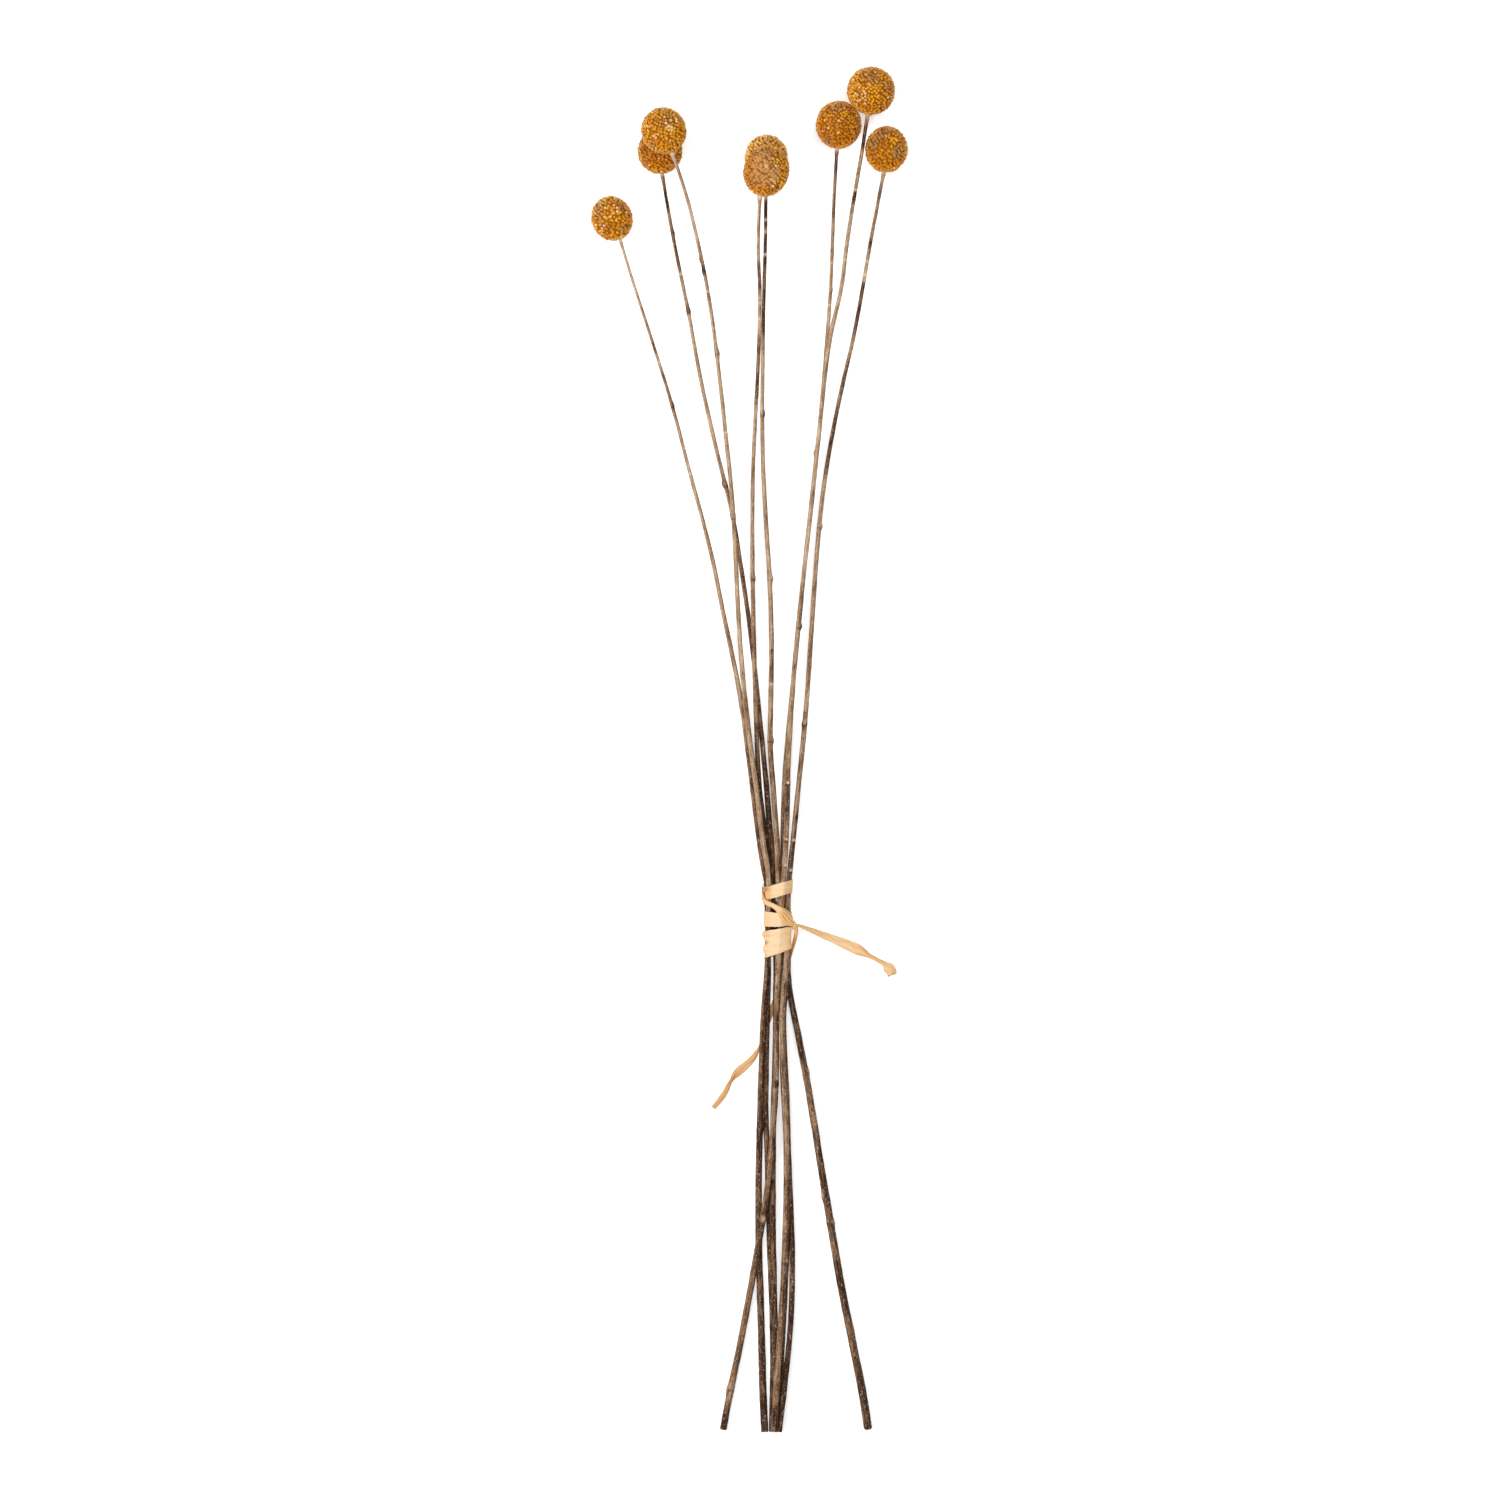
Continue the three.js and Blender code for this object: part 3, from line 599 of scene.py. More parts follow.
@dataclass(frozen=True)
class FloorFinish:
    """Plain white paper, lit a little from below as on a light table, so that shadows on it stay faint."""

    paper: Colour = (0.85, 0.85, 0.85)
    shade: Colour = (0.82, 0.82, 0.82)
    glow_colour: Colour = (1.0, 1.0, 1.0)
    glow: float = 0.5
    cloud_scale: float = 3.0
    roughness: float = 0.9

    def material(self) -> bpy.types.Material:
        """Clouds the white faintly.

        Returns:
            The floor's material.
        """
        shader = Shader("floor_paper")
        cloud = shader.noise(shader.place(), self.cloud_scale)
        return shader.finished(
            Base_Color=shader.mixed(cloud, self.paper, self.shade), Roughness=self.roughness,
            Emission_Color=self.glow_colour, Emission_Strength=self.glow)


# ---------------------------------------------------------------- stems

STRETCH_FADE = 2.5  # over which a dark stretch ends, at most
STRETCH_FADE_SHARE = 0.3  # of its own length, if that is less


@dataclass(frozen=True)
class Stretch:
    """A darker stretch of a stem, from one place along Y to another, towards one side or all round."""

    upper: float
    lower: float
    dark: float
    side: float | None = None

    def value(self, y: Array, turn: Array) -> Array:
        """Works out how much darker it makes the stem: level inside, fading over its ends and round it.

        Args:
            y: places along Y.
            turn: angles round the stem.

        Returns:
            What is added to the stem's dark mark at each point.
        """
        soft = min(STRETCH_FADE, STRETCH_FADE_SHARE * (self.upper - self.lower))
        along = (smooth_step(self.lower - soft, self.lower + soft, y)
                 * smooth_step(-self.upper - soft, -self.upper + soft, -y))
        if self.side is None:
            return self.dark * along
        return self.dark * along * smooth_step(-0.2, 0.7, np.cos(turn - np.radians(self.side)))


@dataclass(frozen=True)
class Scar:
    """Where a leaf or side shoot fell off: a lump on one side, with a pale or dark face.

    side is in degrees, seen along the stem from its head: 0 is up, 90 to the right in plan, -90 to the left.
    """

    y: float
    side: float
    height: float = 0.5
    length: float = 1.1
    pale: float = 0.0
    dark: float = 0.0


@dataclass(frozen=True)
class StemLook:
    """What sets a stem apart: its general shade at the top, the tie and the cut, its stretches and scars."""

    shade: tuple[float, float, float]
    stretches: tuple[Stretch, ...] = ()
    scars: tuple[Scar, ...] = ()
    pale_rings: tuple[float, ...] = ()
    joint: float = -0.24  # how much wider or narrower than its solid the stem is under its head
    fuller: float = 0.0  # how much thicker than its solid it is just above the tie
    rounded_cut: bool = False


STEM_LOOKS = (
    StemLook(
        (0.42, 0.66, 0.86),
        (Stretch(254, 249, 0.4), Stretch(240, 236, 0.35), Stretch(232, 218, 0.15), Stretch(75, 14, 0.2),
         Stretch(-18, -60, 0.25), Stretch(-150, -172, 0.2), Stretch(-219, -224, 0.3)),
        (Scar(226, 80, 0.2, 1.4, dark=0.2), Scar(-66.8, 90, 0.5, 1.6, pale=0.5),
         Scar(-121, -80, 0.7, 2.0, pale=0.9), Scar(-133, 60, 0.25, 1.6, pale=0.35)),
        (245, 196), rounded_cut=True),
    StemLook(
        (0.44, 0.84, 0.94),
        (Stretch(329, 321, 0.3), Stretch(320.5, 311.5, 0.75), Stretch(309.6, 287, 0.25),
         Stretch(270, 266, 0.3), Stretch(174, 114, 0.3), Stretch(86, -96, 0.3), Stretch(-205, -224, 0.15)),
        (Scar(301.5, 60, 0.35, 1.4, dark=0.6), Scar(267.5, 90, 0.2, 1.2, dark=0.5),
         Scar(191.5, -80, 0.5, 1.5, dark=0.4)),
        (283.7,), fuller=0.24),
    StemLook(
        (0.40, 0.48, 0.91),
        (Stretch(298.7, 283.3, 0.25), Stretch(287, 284, 0.25), Stretch(-16, -110, 0.35, 75),
         Stretch(-212, -225, 0.25)),
        (Scar(289.9, -90, 0.35, 1.2), Scar(284.5, -85, 0.35, 1.2), Scar(248.6, 88, 0.5, 2.2, pale=0.3),
         Scar(177.4, -70, 0.5, 1.4, dark=0.4), Scar(-89.6, 55, 0.85, 1.9, dark=0.9)),
        (276, 214), joint=0.2),
    StemLook(
        (0.38, 0.58, 0.82),
        (Stretch(316, 286, 0.6), Stretch(286, 270, 0.42), Stretch(269.5, 257, 0.65),
         Stretch(116, 105, 0.45, 40), Stretch(75, 46, 0.15), Stretch(50, 8, 0.2, 80),
         Stretch(-212, -225, 0.2)),
        (Scar(222.6, 80, 0.35, 1.2, dark=0.3), Scar(149.8, 90, 0.55, 1.6, pale=0.4),
         Scar(78.6, 85, 0.5, 1.4, pale=0.3), Scar(118, 20, 0.2, 0.9, dark=0.6)),
        (317, 307.4, 302.2, 292.1, 103.5)),
    StemLook(
        (0.34, 0.84, 0.95),
        (Stretch(305, 301, 0.15), Stretch(288.5, 276, 0.4), Stretch(276, 264, 0.12), Stretch(256, 228, 0.4),
         Stretch(226, 118, 0.12), Stretch(86, 14, 0.25), Stretch(-212, -225, 0.2)),
        (Scar(150, 80, 0.3, 1.4), Scar(228, -60, 0.3, 1.3, pale=0.4)),
        (271, 264), joint=0.35, fuller=0.24),
    StemLook(
        (0.46, 0.64, 0.95),
        (Stretch(337.3, 327.2, 0.4), Stretch(312.7, 306.6, 0.35), Stretch(40, 8, 0.2),
         Stretch(-168, -217, 0.5)),
        (Scar(205, -80, 0.35, 1.2), Scar(276.7, 70, 0.3, 1.0, pale=0.5)),
        (288.6, 270.1)),
    StemLook(
        (0.40, 0.58, 0.76),
        (Stretch(350, 339, 0.7), Stretch(319.3, 314.9, 0.5), Stretch(314.9, 309.6, 0.2),
         Stretch(66, 47, 0.2, -30), Stretch(-128, -138, 0.3), Stretch(-216, -224, 0.3)),
        (Scar(129.1, 90, 0.6, 1.4, dark=0.2), Scar(60, 10, 0.3, 0.8, pale=1.0),
         Scar(48.7, 10, 0.1, 0.9, dark=0.7), Scar(35.1, 20, 0.15, 0.7, pale=0.8),
         Scar(23.7, 30, 0.15, 0.7, pale=0.8), Scar(-72, 20, 0.45, 1.6, dark=0.7),
         Scar(-98, 70, 0.35, 2.4, dark=0.9), Scar(-131.6, 10, 0.8, 2.0, pale=0.55),
         Scar(-134.2, 0, 0.5, 1.0, dark=0.9), Scar(-132.8, -80, 1.6, 1.7, dark=0.9),
         Scar(-206, -90, 0.35, 2.2, pale=0.3)),
        (320.6, 289.9)),
    StemLook(
        (0.48, 0.62, 0.72),
        (Stretch(322.8, 316.2, 0.35), Stretch(298.7, 295.1, 0.35), Stretch(279.8, 276.7, 0.4),
         Stretch(278, 258, 0.45), Stretch(246, 194, 0.3), Stretch(91.8, 87.8, 0.35, -60),
         Stretch(85.6, 82.6, 0.35, -60), Stretch(46, 17, 0.2, 70), Stretch(-214, -225, 0.2)),
        (Scar(172.8, 80, 0.4, 1.2), Scar(86, -75, 0.25, 1.4, dark=0.7), Scar(44.8, 70, 0.15, 1.0, dark=0.7),
         Scar(34.7, 20, 0.2, 0.8, pale=0.8), Scar(21.5, 20, 0.15, 0.8, pale=0.8),
         Scar(-150, 60, 0.4, 1.5, pale=0.3)),
        (289, 283.3)),
)


@dataclass
class StemLine:
    """A stem's middle line and thickness, read from its node in the frame."""

    node: str
    ring_gap: float = 0.8  # corners further apart than this along Y are on different rings
    knot_rise: float = 0.2  # a ring that is wider than both its neighbours by this much is a knot

    def __post_init__(self) -> None:
        """Splits the node's corners into rings, and takes the knots off the thickness."""
        corners = node_points(self.node) - TIE_MIDDLE
        corners = corners[np.argsort(corners[:, 1])]
        breaks = np.flatnonzero(np.diff(corners[:, 1]) > self.ring_gap) + 1
        rings = np.split(corners, breaks)
        self.middles = np.array([ring.mean(axis=0) for ring in rings])
        radii = np.array([np.linalg.norm(ring - ring.mean(axis=0), axis=1).mean() for ring in rings])
        rise = radii[1:-1] - np.maximum(radii[:-2], radii[2:])
        at_knot = np.flatnonzero(rise > self.knot_rise) + 1
        self.knots = self.middles[at_knot, 1]
        self.places = self.middles[:, 1]
        even = np.setdiff1d(np.arange(len(radii)), at_knot)
        self.even_places, self.even_radii = self.places[even], radii[even]

    def middle(self, y: Array) -> Array:
        """Points of the middle line at places along Y."""
        return smooth_through(self.places, self.middles, y)

    def radius(self, y: Array) -> Array:
        """Radius without the knots at places along Y."""
        return np.interp(y, self.even_places, self.even_radii)


@dataclass
class Stem:
    """One stem: a ribbed, slightly uneven rod with knots and scars, shaped to its head and cut at its end."""

    number: int
    line: StemLine
    look: StemLook
    row_step: float = 1.3
    fine_step: float = 0.35
    fine_reach: float = 2.1  # of the closer rows on both sides of a knot, scar or ring
    columns: int = 28
    rib_depth: float = 0.035  # of the radius, and so is the sway
    sway: float = 0.05
    knot_height: float = 0.16
    knot_length: float = 1.5
    joint_length: float = 2.4
    fuller_at: float = 38.0
    fuller_reach: float = 22.0
    tie_slit_shade: tuple[float, float] = (-5.0, -3.4)  # stretch along Y painted dark as the shade in the slit between two turns of the tie
    cut_reach: tuple[float, float] = (0.35, 1.3)  # how far a worn and a rounded end draw in
    lowest: float = 0.02

    def rows(self) -> Array:
        """Picks the places of the rows along Y.

        Returns:
            Even places, and closer ones at knots, scars, rings and both ends.
        """
        low, high = self.line.places[[0, -1]]
        even = np.arange(low, high, self.row_step)
        fine = np.arange(-self.fine_reach, self.fine_reach + 0.05, self.fine_step)
        special = [*self.line.knots, *(scar.y for scar in self.look.scars), *self.look.pale_rings]
        near = (np.array(special)[:, None] + fine).ravel()
        ends = np.concatenate([low + np.array([0, 0.15, 0.4, 0.8]), high - np.arange(0, 5, 0.4)])
        places = np.unique(np.clip(np.concatenate([even, near, ends]), low, high))
        keep = np.concatenate([[True], np.diff(places) > 0.3 * self.fine_step])
        return places[keep]

    def skin(self) -> Skin:
        """Carries a round section along the stem's middle line.

        Round each row the radius is the frame's, times lengthwise ribs, which are sines of five and eight
        waves whose starts drift along the stem, plus a bell at each knot and a lump at each scar.

        Returns:
            The skin, with the marks along, dark and pale.
        """
        random = np.random.default_rng(700 + self.number)
        y = self.rows()
        turn = np.arange(self.columns) * FULL_TURN / self.columns
        grid_y, grid_turn = np.meshgrid(y, turn, indexing="ij")
        head_end = self.line.places[-2]
        drift = 1.6 * waves(y, (140.0, 73.0, 41.0), random)[:, None]
        ribs = self.rib_depth * (np.sin(5 * turn + 3 * drift) + 0.8 * np.sin(8 * turn - 4 * drift + 2))
        sway = self.sway * waves(y, (23.0, 9.1, 5.3, 31.0), random)[:, None]
        radius = self.line.radius(y)[:, None] * (1 + ribs + sway)
        at_head = smooth_step(head_end - self.joint_length, head_end + 0.8, y)[:, None]
        radius = radius + self.look.joint * at_head
        radius = radius + self.look.fuller * bell(y, self.fuller_at, self.fuller_reach)[:, None]
        dark, pale = self._shade(grid_y, grid_turn, random)
        for knot in self.line.knots:
            lopsided = 0.75 + 0.25 * np.cos(grid_turn - random.uniform(0, FULL_TURN))
            radius = radius + self.knot_height * bell(grid_y, knot, self.knot_length) * lopsided
            dark = dark + 0.25 * bell(grid_y, knot - 0.8, 0.5)
        for scar in self.look.scars:
            off = np.angle(np.exp(1j * (grid_turn - np.radians(scar.side))))
            face = bell(grid_y, scar.y + 0.3, 0.7 * scar.length) * bell(off, 0, 0.7)
            shade_below = bell(grid_y, scar.y - scar.length, 0.4) * bell(off, 0, 0.9)
            radius = radius + scar.height * bell(grid_y, scar.y, scar.length) * bell(off, 0, 0.75)
            dark = dark + scar.dark * face + 0.3 * shade_below
            pale = pale + scar.pale * face
        middles = self.line.middle(y)
        forward = unit(np.gradient(middles, y, axis=0))
        side = unit(np.cross(forward, UPWARD))
        up = np.cross(side, forward)
        outward = side[:, None] * np.sin(turn)[None, :, None] + up[:, None] * np.cos(turn)[None, :, None]
        rings = self._cut_end(middles[:, None] + radius[..., None] * outward, y)
        along = np.stack([radius * np.cos(grid_turn), radius * np.sin(grid_turn), grid_y], -1)
        skin = sleeve(rings + TIE_MIDDLE, {
            "along": along + 37.0 * self.number, "dark": np.clip(dark, 0, 1), "pale": np.clip(pale, 0, 1)})
        skin.marks["pale"][-2] = 0.5  # the pith in the middle of the cut
        skin.points[:, 2] = np.maximum(skin.points[:, 2], self.lowest)
        return skin

    def _shade(self, y: Array, turn: Array, random: np.random.Generator) -> tuple[Array, Array]:
        """Adds up the general shade, unrest, painted shade on the side away from the light, stretches, rings
        and the joint.

        Args:
            y: places along Y, in rows and columns.
            turn: angles round the stem, in rows and columns.
            random: where the unrest comes from.

        Returns:
            How dark and how pale each point is.
        """
        top, cut = self.line.places[-1], self.line.places[0]
        high, middle, low = self.look.shade
        dark = np.interp(y, [cut, -110, -20, 15, 0.55 * top, top], [low, low, low - 0.14, middle, high, high])
        dark = dark + 0.12 * waves(y, (61.0, 37.0, 19.0, 11.0), random)
        # painted shade: each stem darker on its right-hand side, away from the key light, and lighter on its
        # left, more so low down
        painted_side_shade = np.interp(y, [-60, 20], [0.15, 0.11])
        dark = dark + painted_side_shade * np.sin(turn - 0.5 + 1.5 * waves(y, (90.0, 47.0), random))
        blocks = waves(y, (13.0, 8.3, 5.9), random) + 0.4 * np.sin(2 * turn + y / 7)
        dark = dark + 0.07 * smooth_step(0.25, 0.5, blocks)
        # painted shade in the slit between the middle and lower turns of the tie
        dark = dark + 0.5 * bell(y, sum(self.tie_slit_shade) / 2, self.tie_slit_shade[1] - self.tie_slit_shade[0])
        for stretch in self.look.stretches:
            dark = dark + stretch.value(y, turn)
        pale = np.zeros_like(dark)
        for ring in self.look.pale_rings:
            pale = pale + 0.6 * bell(y, ring, 0.55) * (0.7 + 0.3 * np.cos(turn))
        joint = smooth_step(self.line.places[-2] - 2.2, self.line.places[-2] - 0.3, y)
        return dark * (1 - 0.6 * joint), pale + (0.5 + self.look.joint) * joint

    def _cut_end(self, rings: Array, y: Array) -> Array:
        """Draws the first rows in to the cut, straight for a worn edge and as an arc for a rounded end.

        Args:
            rings: the stem's rings.
            y: their places along Y.

        Returns:
            The rings, the first of them narrower.
        """
        rounded = self.look.rounded_cut
        share = np.clip((y - y[0]) / self.cut_reach[rounded], 0, 1)
        narrow = np.sqrt(1 - 0.75 * (1 - share) ** 2) if rounded else 1 - 0.12 * (1 - share)
        centres = rings.mean(axis=1, keepdims=True)
        return centres + (rings - centres) * narrow[:, None, None]

    def build(self, finish: bpy.types.Material) -> bpy.types.Object:
        """Makes the stem's piece in place of its node."""
        return mesh_piece(f"bark_stem_{self.number}", self.skin(), finish, self.line.node)


# ---------------------------------------------------------------- flower heads


@dataclass(frozen=True)
class FloretShape:
    """Profile of one floret, in millimetres: a cup with five teeth on its lip and a pit or a dome inside."""

    lip: float
    tooth: float
    rise: float
    middle: float
    belly: float = 0.70
    belly_height: float = 0.30
    foot: float = 0.50
    foot_height: float = -0.45


class FloretForm(Enum):
    """The three states of a dried floret."""

    OPEN = FloretShape(lip=0.54, tooth=0.07, rise=0.93, middle=0.92, belly=0.72)
    BUD = FloretShape(lip=0.44, tooth=0.04, rise=0.84, middle=1.14)
    SPENT = FloretShape(lip=0.45, tooth=0.14, rise=0.90, middle=0.42, belly=0.62)


@dataclass(frozen=True)
class Worn:
    """A rubbed patch on a head: the way it faces, how far it reaches, its pits and its crescent scar.

    Pits, the middle of what is still whole and the scar's ends are places in plan from the head's middle, in
    millimetres. edge is the cosine of the angle from the way it faces where the wear starts and is complete.
    """

    facing: tuple[float, float, float]
    edge: tuple[float, float]
    pits: tuple[tuple[float, float], ...]
    whole: tuple[float, float]
    scar_from: tuple[float, float]
    scar_to: tuple[float, float]
    whole_reach: float = 2.2
    pit_reach: float = 0.8
    scar_bend: float = 0.7
    scar_width: tuple[float, float] = (0.18, 0.58)  # half of it at the ends, and what the middle adds
    scar_height: float = 0.42  # for its width


@dataclass(frozen=True)
class HeadLook:
    """What sets a head's florets apart: how withered, golden and pale they are, and where."""

    greyness: float
    goldness: float
    fading: float  # how many more of them have withered far from the stem
    paleness: float  # share with a pale lip
    glint: tuple[float, float, float] | None = None  # direction of a painted highlight, in which more of them are pale
    worn: Worn | None = None


HEAD_LOOKS = (
    HeadLook(greyness=0.34, goldness=0.15, fading=0.6, paleness=0.12),
    HeadLook(greyness=0.28, goldness=-0.3, fading=0.3, paleness=0.07),
    HeadLook(greyness=0.24, goldness=0.15, fading=0.25, paleness=0.13, glint=(0.35, 0.4, 0.85)),
    # head 4: partly its own brighter gold and partly painted light, more pale lips and gold and less withering
    # against the shade that head 5 casts on it
    HeadLook(greyness=-0.4, goldness=0.9, fading=0.0, paleness=0.65),
    HeadLook(greyness=0.56, goldness=0.0, fading=0.3, paleness=0.03, worn=Worn(
        facing=(-0.08, 0.0, 1.0), edge=(0.55, 0.82), pits=((-1.4, 3.1), (0.2, 4.9), (4.8, 7.9)),
        whole=(3.7, 2.7), scar_from=(1.0, -3.6), scar_to=(4.4, -6.6))),
    HeadLook(greyness=0.16, goldness=-0.25, fading=1.0, paleness=0.04),
    HeadLook(greyness=0.31, goldness=0.05, fading=0.9, paleness=0.09, glint=(-0.42, -0.35, 0.84)),
    HeadLook(greyness=0.45, goldness=-0.15, fading=1.1, paleness=0.05),
)
CHANCES = ("form", "depth", "width", "height", "withering", "paling", "cream", "tone")


@dataclass
class Crowd:
    """The florets of a head before they have a shape, one row each."""

    ways: Array  # directions from the head's middle, before the head is turned to its stem
    lean: Array  # directions away from the middle of the clump
    rim: Array  # from 0 inside a clump to 1 at its rim
    rubbed: Array  # how worn, from 0 to 1
    grey: Array  # unrest that gathers the withered ones
    form: Array  # number of its form
    chance: dict[str, Array]  # random values from 0 to 1


@dataclass
class FlowerHead:
    """One globe head: florets in small clumps, standing close together on a core painted dark as the shade
    between them.
    """

    number: int
    line: StemLine
    look: HeadLook
    floret_area: float = 2.25
    clump_area: float = 12.0
    clump_reach: tuple[float, float] = (0.6, 2.5)  # distances between which a clump's rim starts
    stray: float = 0.42
    clump_stray: float = 0.9
    sink: float = 0.85
    sides: int = 10
    end_room: float = 0.9  # how much longer the head is than its solid, most of it at the stem
    stem_cosine: float = -0.9965  # there are no florets nearer to the stem than this
    open_share: float = 0.42
    spent_share: float = 0.12
    core_size: tuple[int, int] = (40, 56)  # rows and columns
    core_sink: float = 0.12
    scar_size: tuple[int, int] = (30, 14)
    resting_below: float = 0.05
    lowest: float = 0.01

    def __post_init__(self) -> None:
        """Takes the head's middle, size and direction from the frame."""
        low, high = (np.array(corner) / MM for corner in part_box(f"head_{self.number}"))
        size = high - low
        across = size[0]
        self.resting = low[2] < self.resting_below
        self.half = np.array([across, size[1] + self.end_room, across]) / 2
        self.centre = np.array([*(low + high)[:2] / 2, high[2] - across / 2]) - [0, self.end_room / 4, 0]
        neck = self.line.middles[-2] + TIE_MIDDLE
        self.axis = unit(self.centre - neck)
        self.random = np.random.default_rng(40 + self.number)

    def _spread(self, area: float, stray: float) -> Array:
        """Spreads directions evenly over a ball by the golden angle, then moves them at random.

        Args:
            area: of the head's surface for each direction.
            stray: how far they move, for the gap between them.

        Returns:
            The directions.
        """
        count = round(4 * np.pi * float(np.mean(self.half)) ** 2 / area)
        i = np.arange(count)
        height = 1 - (2 * i + 1) / count
        around = np.sqrt(1 - height**2)
        turn = i * GOLDEN_ANGLE
        even = np.stack([around * np.cos(turn), -height, around * np.sin(turn)], -1)
        return unit(even + self.random.normal(scale=stray / np.sqrt(count), size=even.shape))

    def _turned(self, directions: Array) -> Array:
        """Turns directions from +Y to the head's own axis, by Rodrigues' formula.

        Args:
            directions: one a row.

        Returns:
            The turned directions.
        """
        start = np.array([0.0, 1.0, 0.0])
        cross, cosine = np.cross(start, self.axis), float(start @ self.axis)
        return (directions * cosine + np.cross(cross, directions)
                + np.outer(directions @ cross, cross) / (1 + cosine))

    def _ball(self, directions: Array, depth: Array | float) -> Array:
        """Points on the head's egg shape, a depth below its surface."""
        return self._turned(directions * (self.half - np.expand_dims(depth, -1))) + self.centre

    def _templates(self) -> tuple[Array, Array]:
        """Works out the corners of the three floret forms: a foot, a belly and a lip that waves five times.

        Returns:
            The corners, and how high each lies in its floret, from 0 at the foot to 1 at the lip.
        """
        turn = np.arange(self.sides) * FULL_TURN / self.sides
        star = np.cos(5 * turn)
        corners, heights = [], []
        for form in FloretForm:
            shape = form.value
            profile = ((shape.foot, shape.foot_height), (shape.belly, shape.belly_height),
                       (shape.lip + shape.tooth * star, shape.rise + 0.6 * shape.tooth * star))
            rows = [np.stack([radius * np.cos(turn), radius * np.sin(turn), height + 0 * turn], -1)
                    for radius, height in profile]
            ends = np.array([[0, 0, shape.middle], [0, 0, shape.foot_height]])
            corners.append(np.concatenate([*rows, ends]))
            pit = np.clip(0.25 + shape.middle * 0.75, 0, 1)
            heights.append(np.concatenate([np.repeat([0.0, 0.5, 1.0], self.sides), [pit, 0.0]]))
        return np.array(corners), np.array(heights)

    def _floret_faces(self) -> tuple[Array, Array]:
        """Joins the corners of one floret.

        Returns:
            Quads of its two belts, and triangles of the inside of its lip and its closed foot.
        """
        first = np.arange(self.sides)
        after = np.roll(first, -1)
        belt = np.stack([first, after, after + self.sides, first + self.sides], -1)
        lip, top, foot = 2 * self.sides, 3 * self.sides, 3 * self.sides + 1
        inside = np.stack([first + lip, after + lip, np.full(self.sides, top)], -1)
        base = np.stack([after, first, np.full(self.sides, foot)], -1)
        return np.concatenate([belt, belt + self.sides]), np.concatenate([inside, base])

    def _crowd(self) -> Crowd:
        """Spreads the florets over the head and draws what sets each one apart.

        Returns:
            The florets.
        """
        ways = self._spread(self.floret_area, self.stray * np.sqrt(4 * np.pi) / 2)
        clumps = self._spread(self.clump_area, self.clump_stray)
        ways = ways[ways[:, 1] > self.stem_cosine]
        likeness = ways @ clumps.T
        apart = np.arccos(np.clip(likeness.max(axis=1), -1, 1)) * float(np.mean(self.half))
        chance = dict(zip(CHANCES, self.random.random((len(ways), len(CHANCES))).T))
        spent = chance["form"] >= 1 - self.spent_share
        return Crowd(
            ways=ways, lean=unit(ways - clumps[likeness.argmax(axis=1)]),
            rim=smooth_step(*self.clump_reach, apart), rubbed=self._rubbed(ways),
            grey=patches(ways, 0.55, self.random),
            form=np.where(chance["form"] < self.open_share, 0, np.where(spent, 2, 1)), chance=chance)

    def _corners(self, crowd: Crowd) -> tuple[Array, Array]:
        """Stands each floret on the egg shape, leaning away from the middle of its clump.

        Those at a clump's rim sit lower and lean more, and worn ones are wider, flatter and more upright.

        Args:
            crowd: the florets.

        Returns:
            Their corners, and how high each lies in its floret.
        """
        rim, rubbed, chance = crowd.rim, crowd.rubbed, crowd.chance
        size = crowd.ways.shape
        depth = (self.sink - 0.06 + 0.18 * rim + 0.14 * (chance["depth"] - 0.5)
                 - 0.1 * rubbed - 0.2 * rubbed * rim)
        outward = unit(self._turned(crowd.ways / self.half))
        lean = self._turned(crowd.lean) * (0.15 * rim + 0.02)[:, None] + 0.10 * self.random.normal(size=size)
        outward = unit(outward + lean * (1 - 0.7 * rubbed)[:, None])
        across = unit(np.cross(outward, self.random.normal(size=size)))
        beside = 0.92 * np.cross(outward, across)
        wide = (0.98 + 0.3 * chance["width"] + 0.3 * rubbed)[:, None]
        tall = ((0.85 + 0.35 * chance["height"]) * (1 - 0.5 * rubbed))[:, None]
        shapes, heights = self._templates()
        local = shapes[crowd.form]
        points = (self._ball(crowd.ways, depth)[:, None]
                  + local[..., :1] * (across * wide)[:, None]
                  + local[..., 1:2] * (beside * wide)[:, None]
                  + local[..., 2:] * (outward * tall)[:, None])
        return points, heights[crowd.form]

    def _colours(self, crowd: Crowd, tip: Array) -> dict[str, Array]:
        """Draws the florets' colour marks.

        The withered ones gather in patches, more of them far from the stem. Lips are painted creamier and less
        withered round the head's outline in plan, as a sheen along its rim, and near the stem the florets are
        deeper in colour.

        Args:
            crowd: the florets.
            tip: how high each corner lies in its floret.

        Returns:
            The marks tone, cream, withered, worn and depth, one value a corner.
        """
        ways, rubbed, chance = crowd.ways, crowd.rubbed, crowd.chance
        distal = 0.5 + 0.5 * ways[:, 1]
        below = 1 - smooth_step(0.15, 0.75, distal)
        # painted highlight: a pale sheen on the lips round the head's outline in plan, where fewer are withered
        painted_rim_sheen = smooth_step(-0.40, -0.22, -np.abs(self._turned(ways)[:, 2] - 0.12))
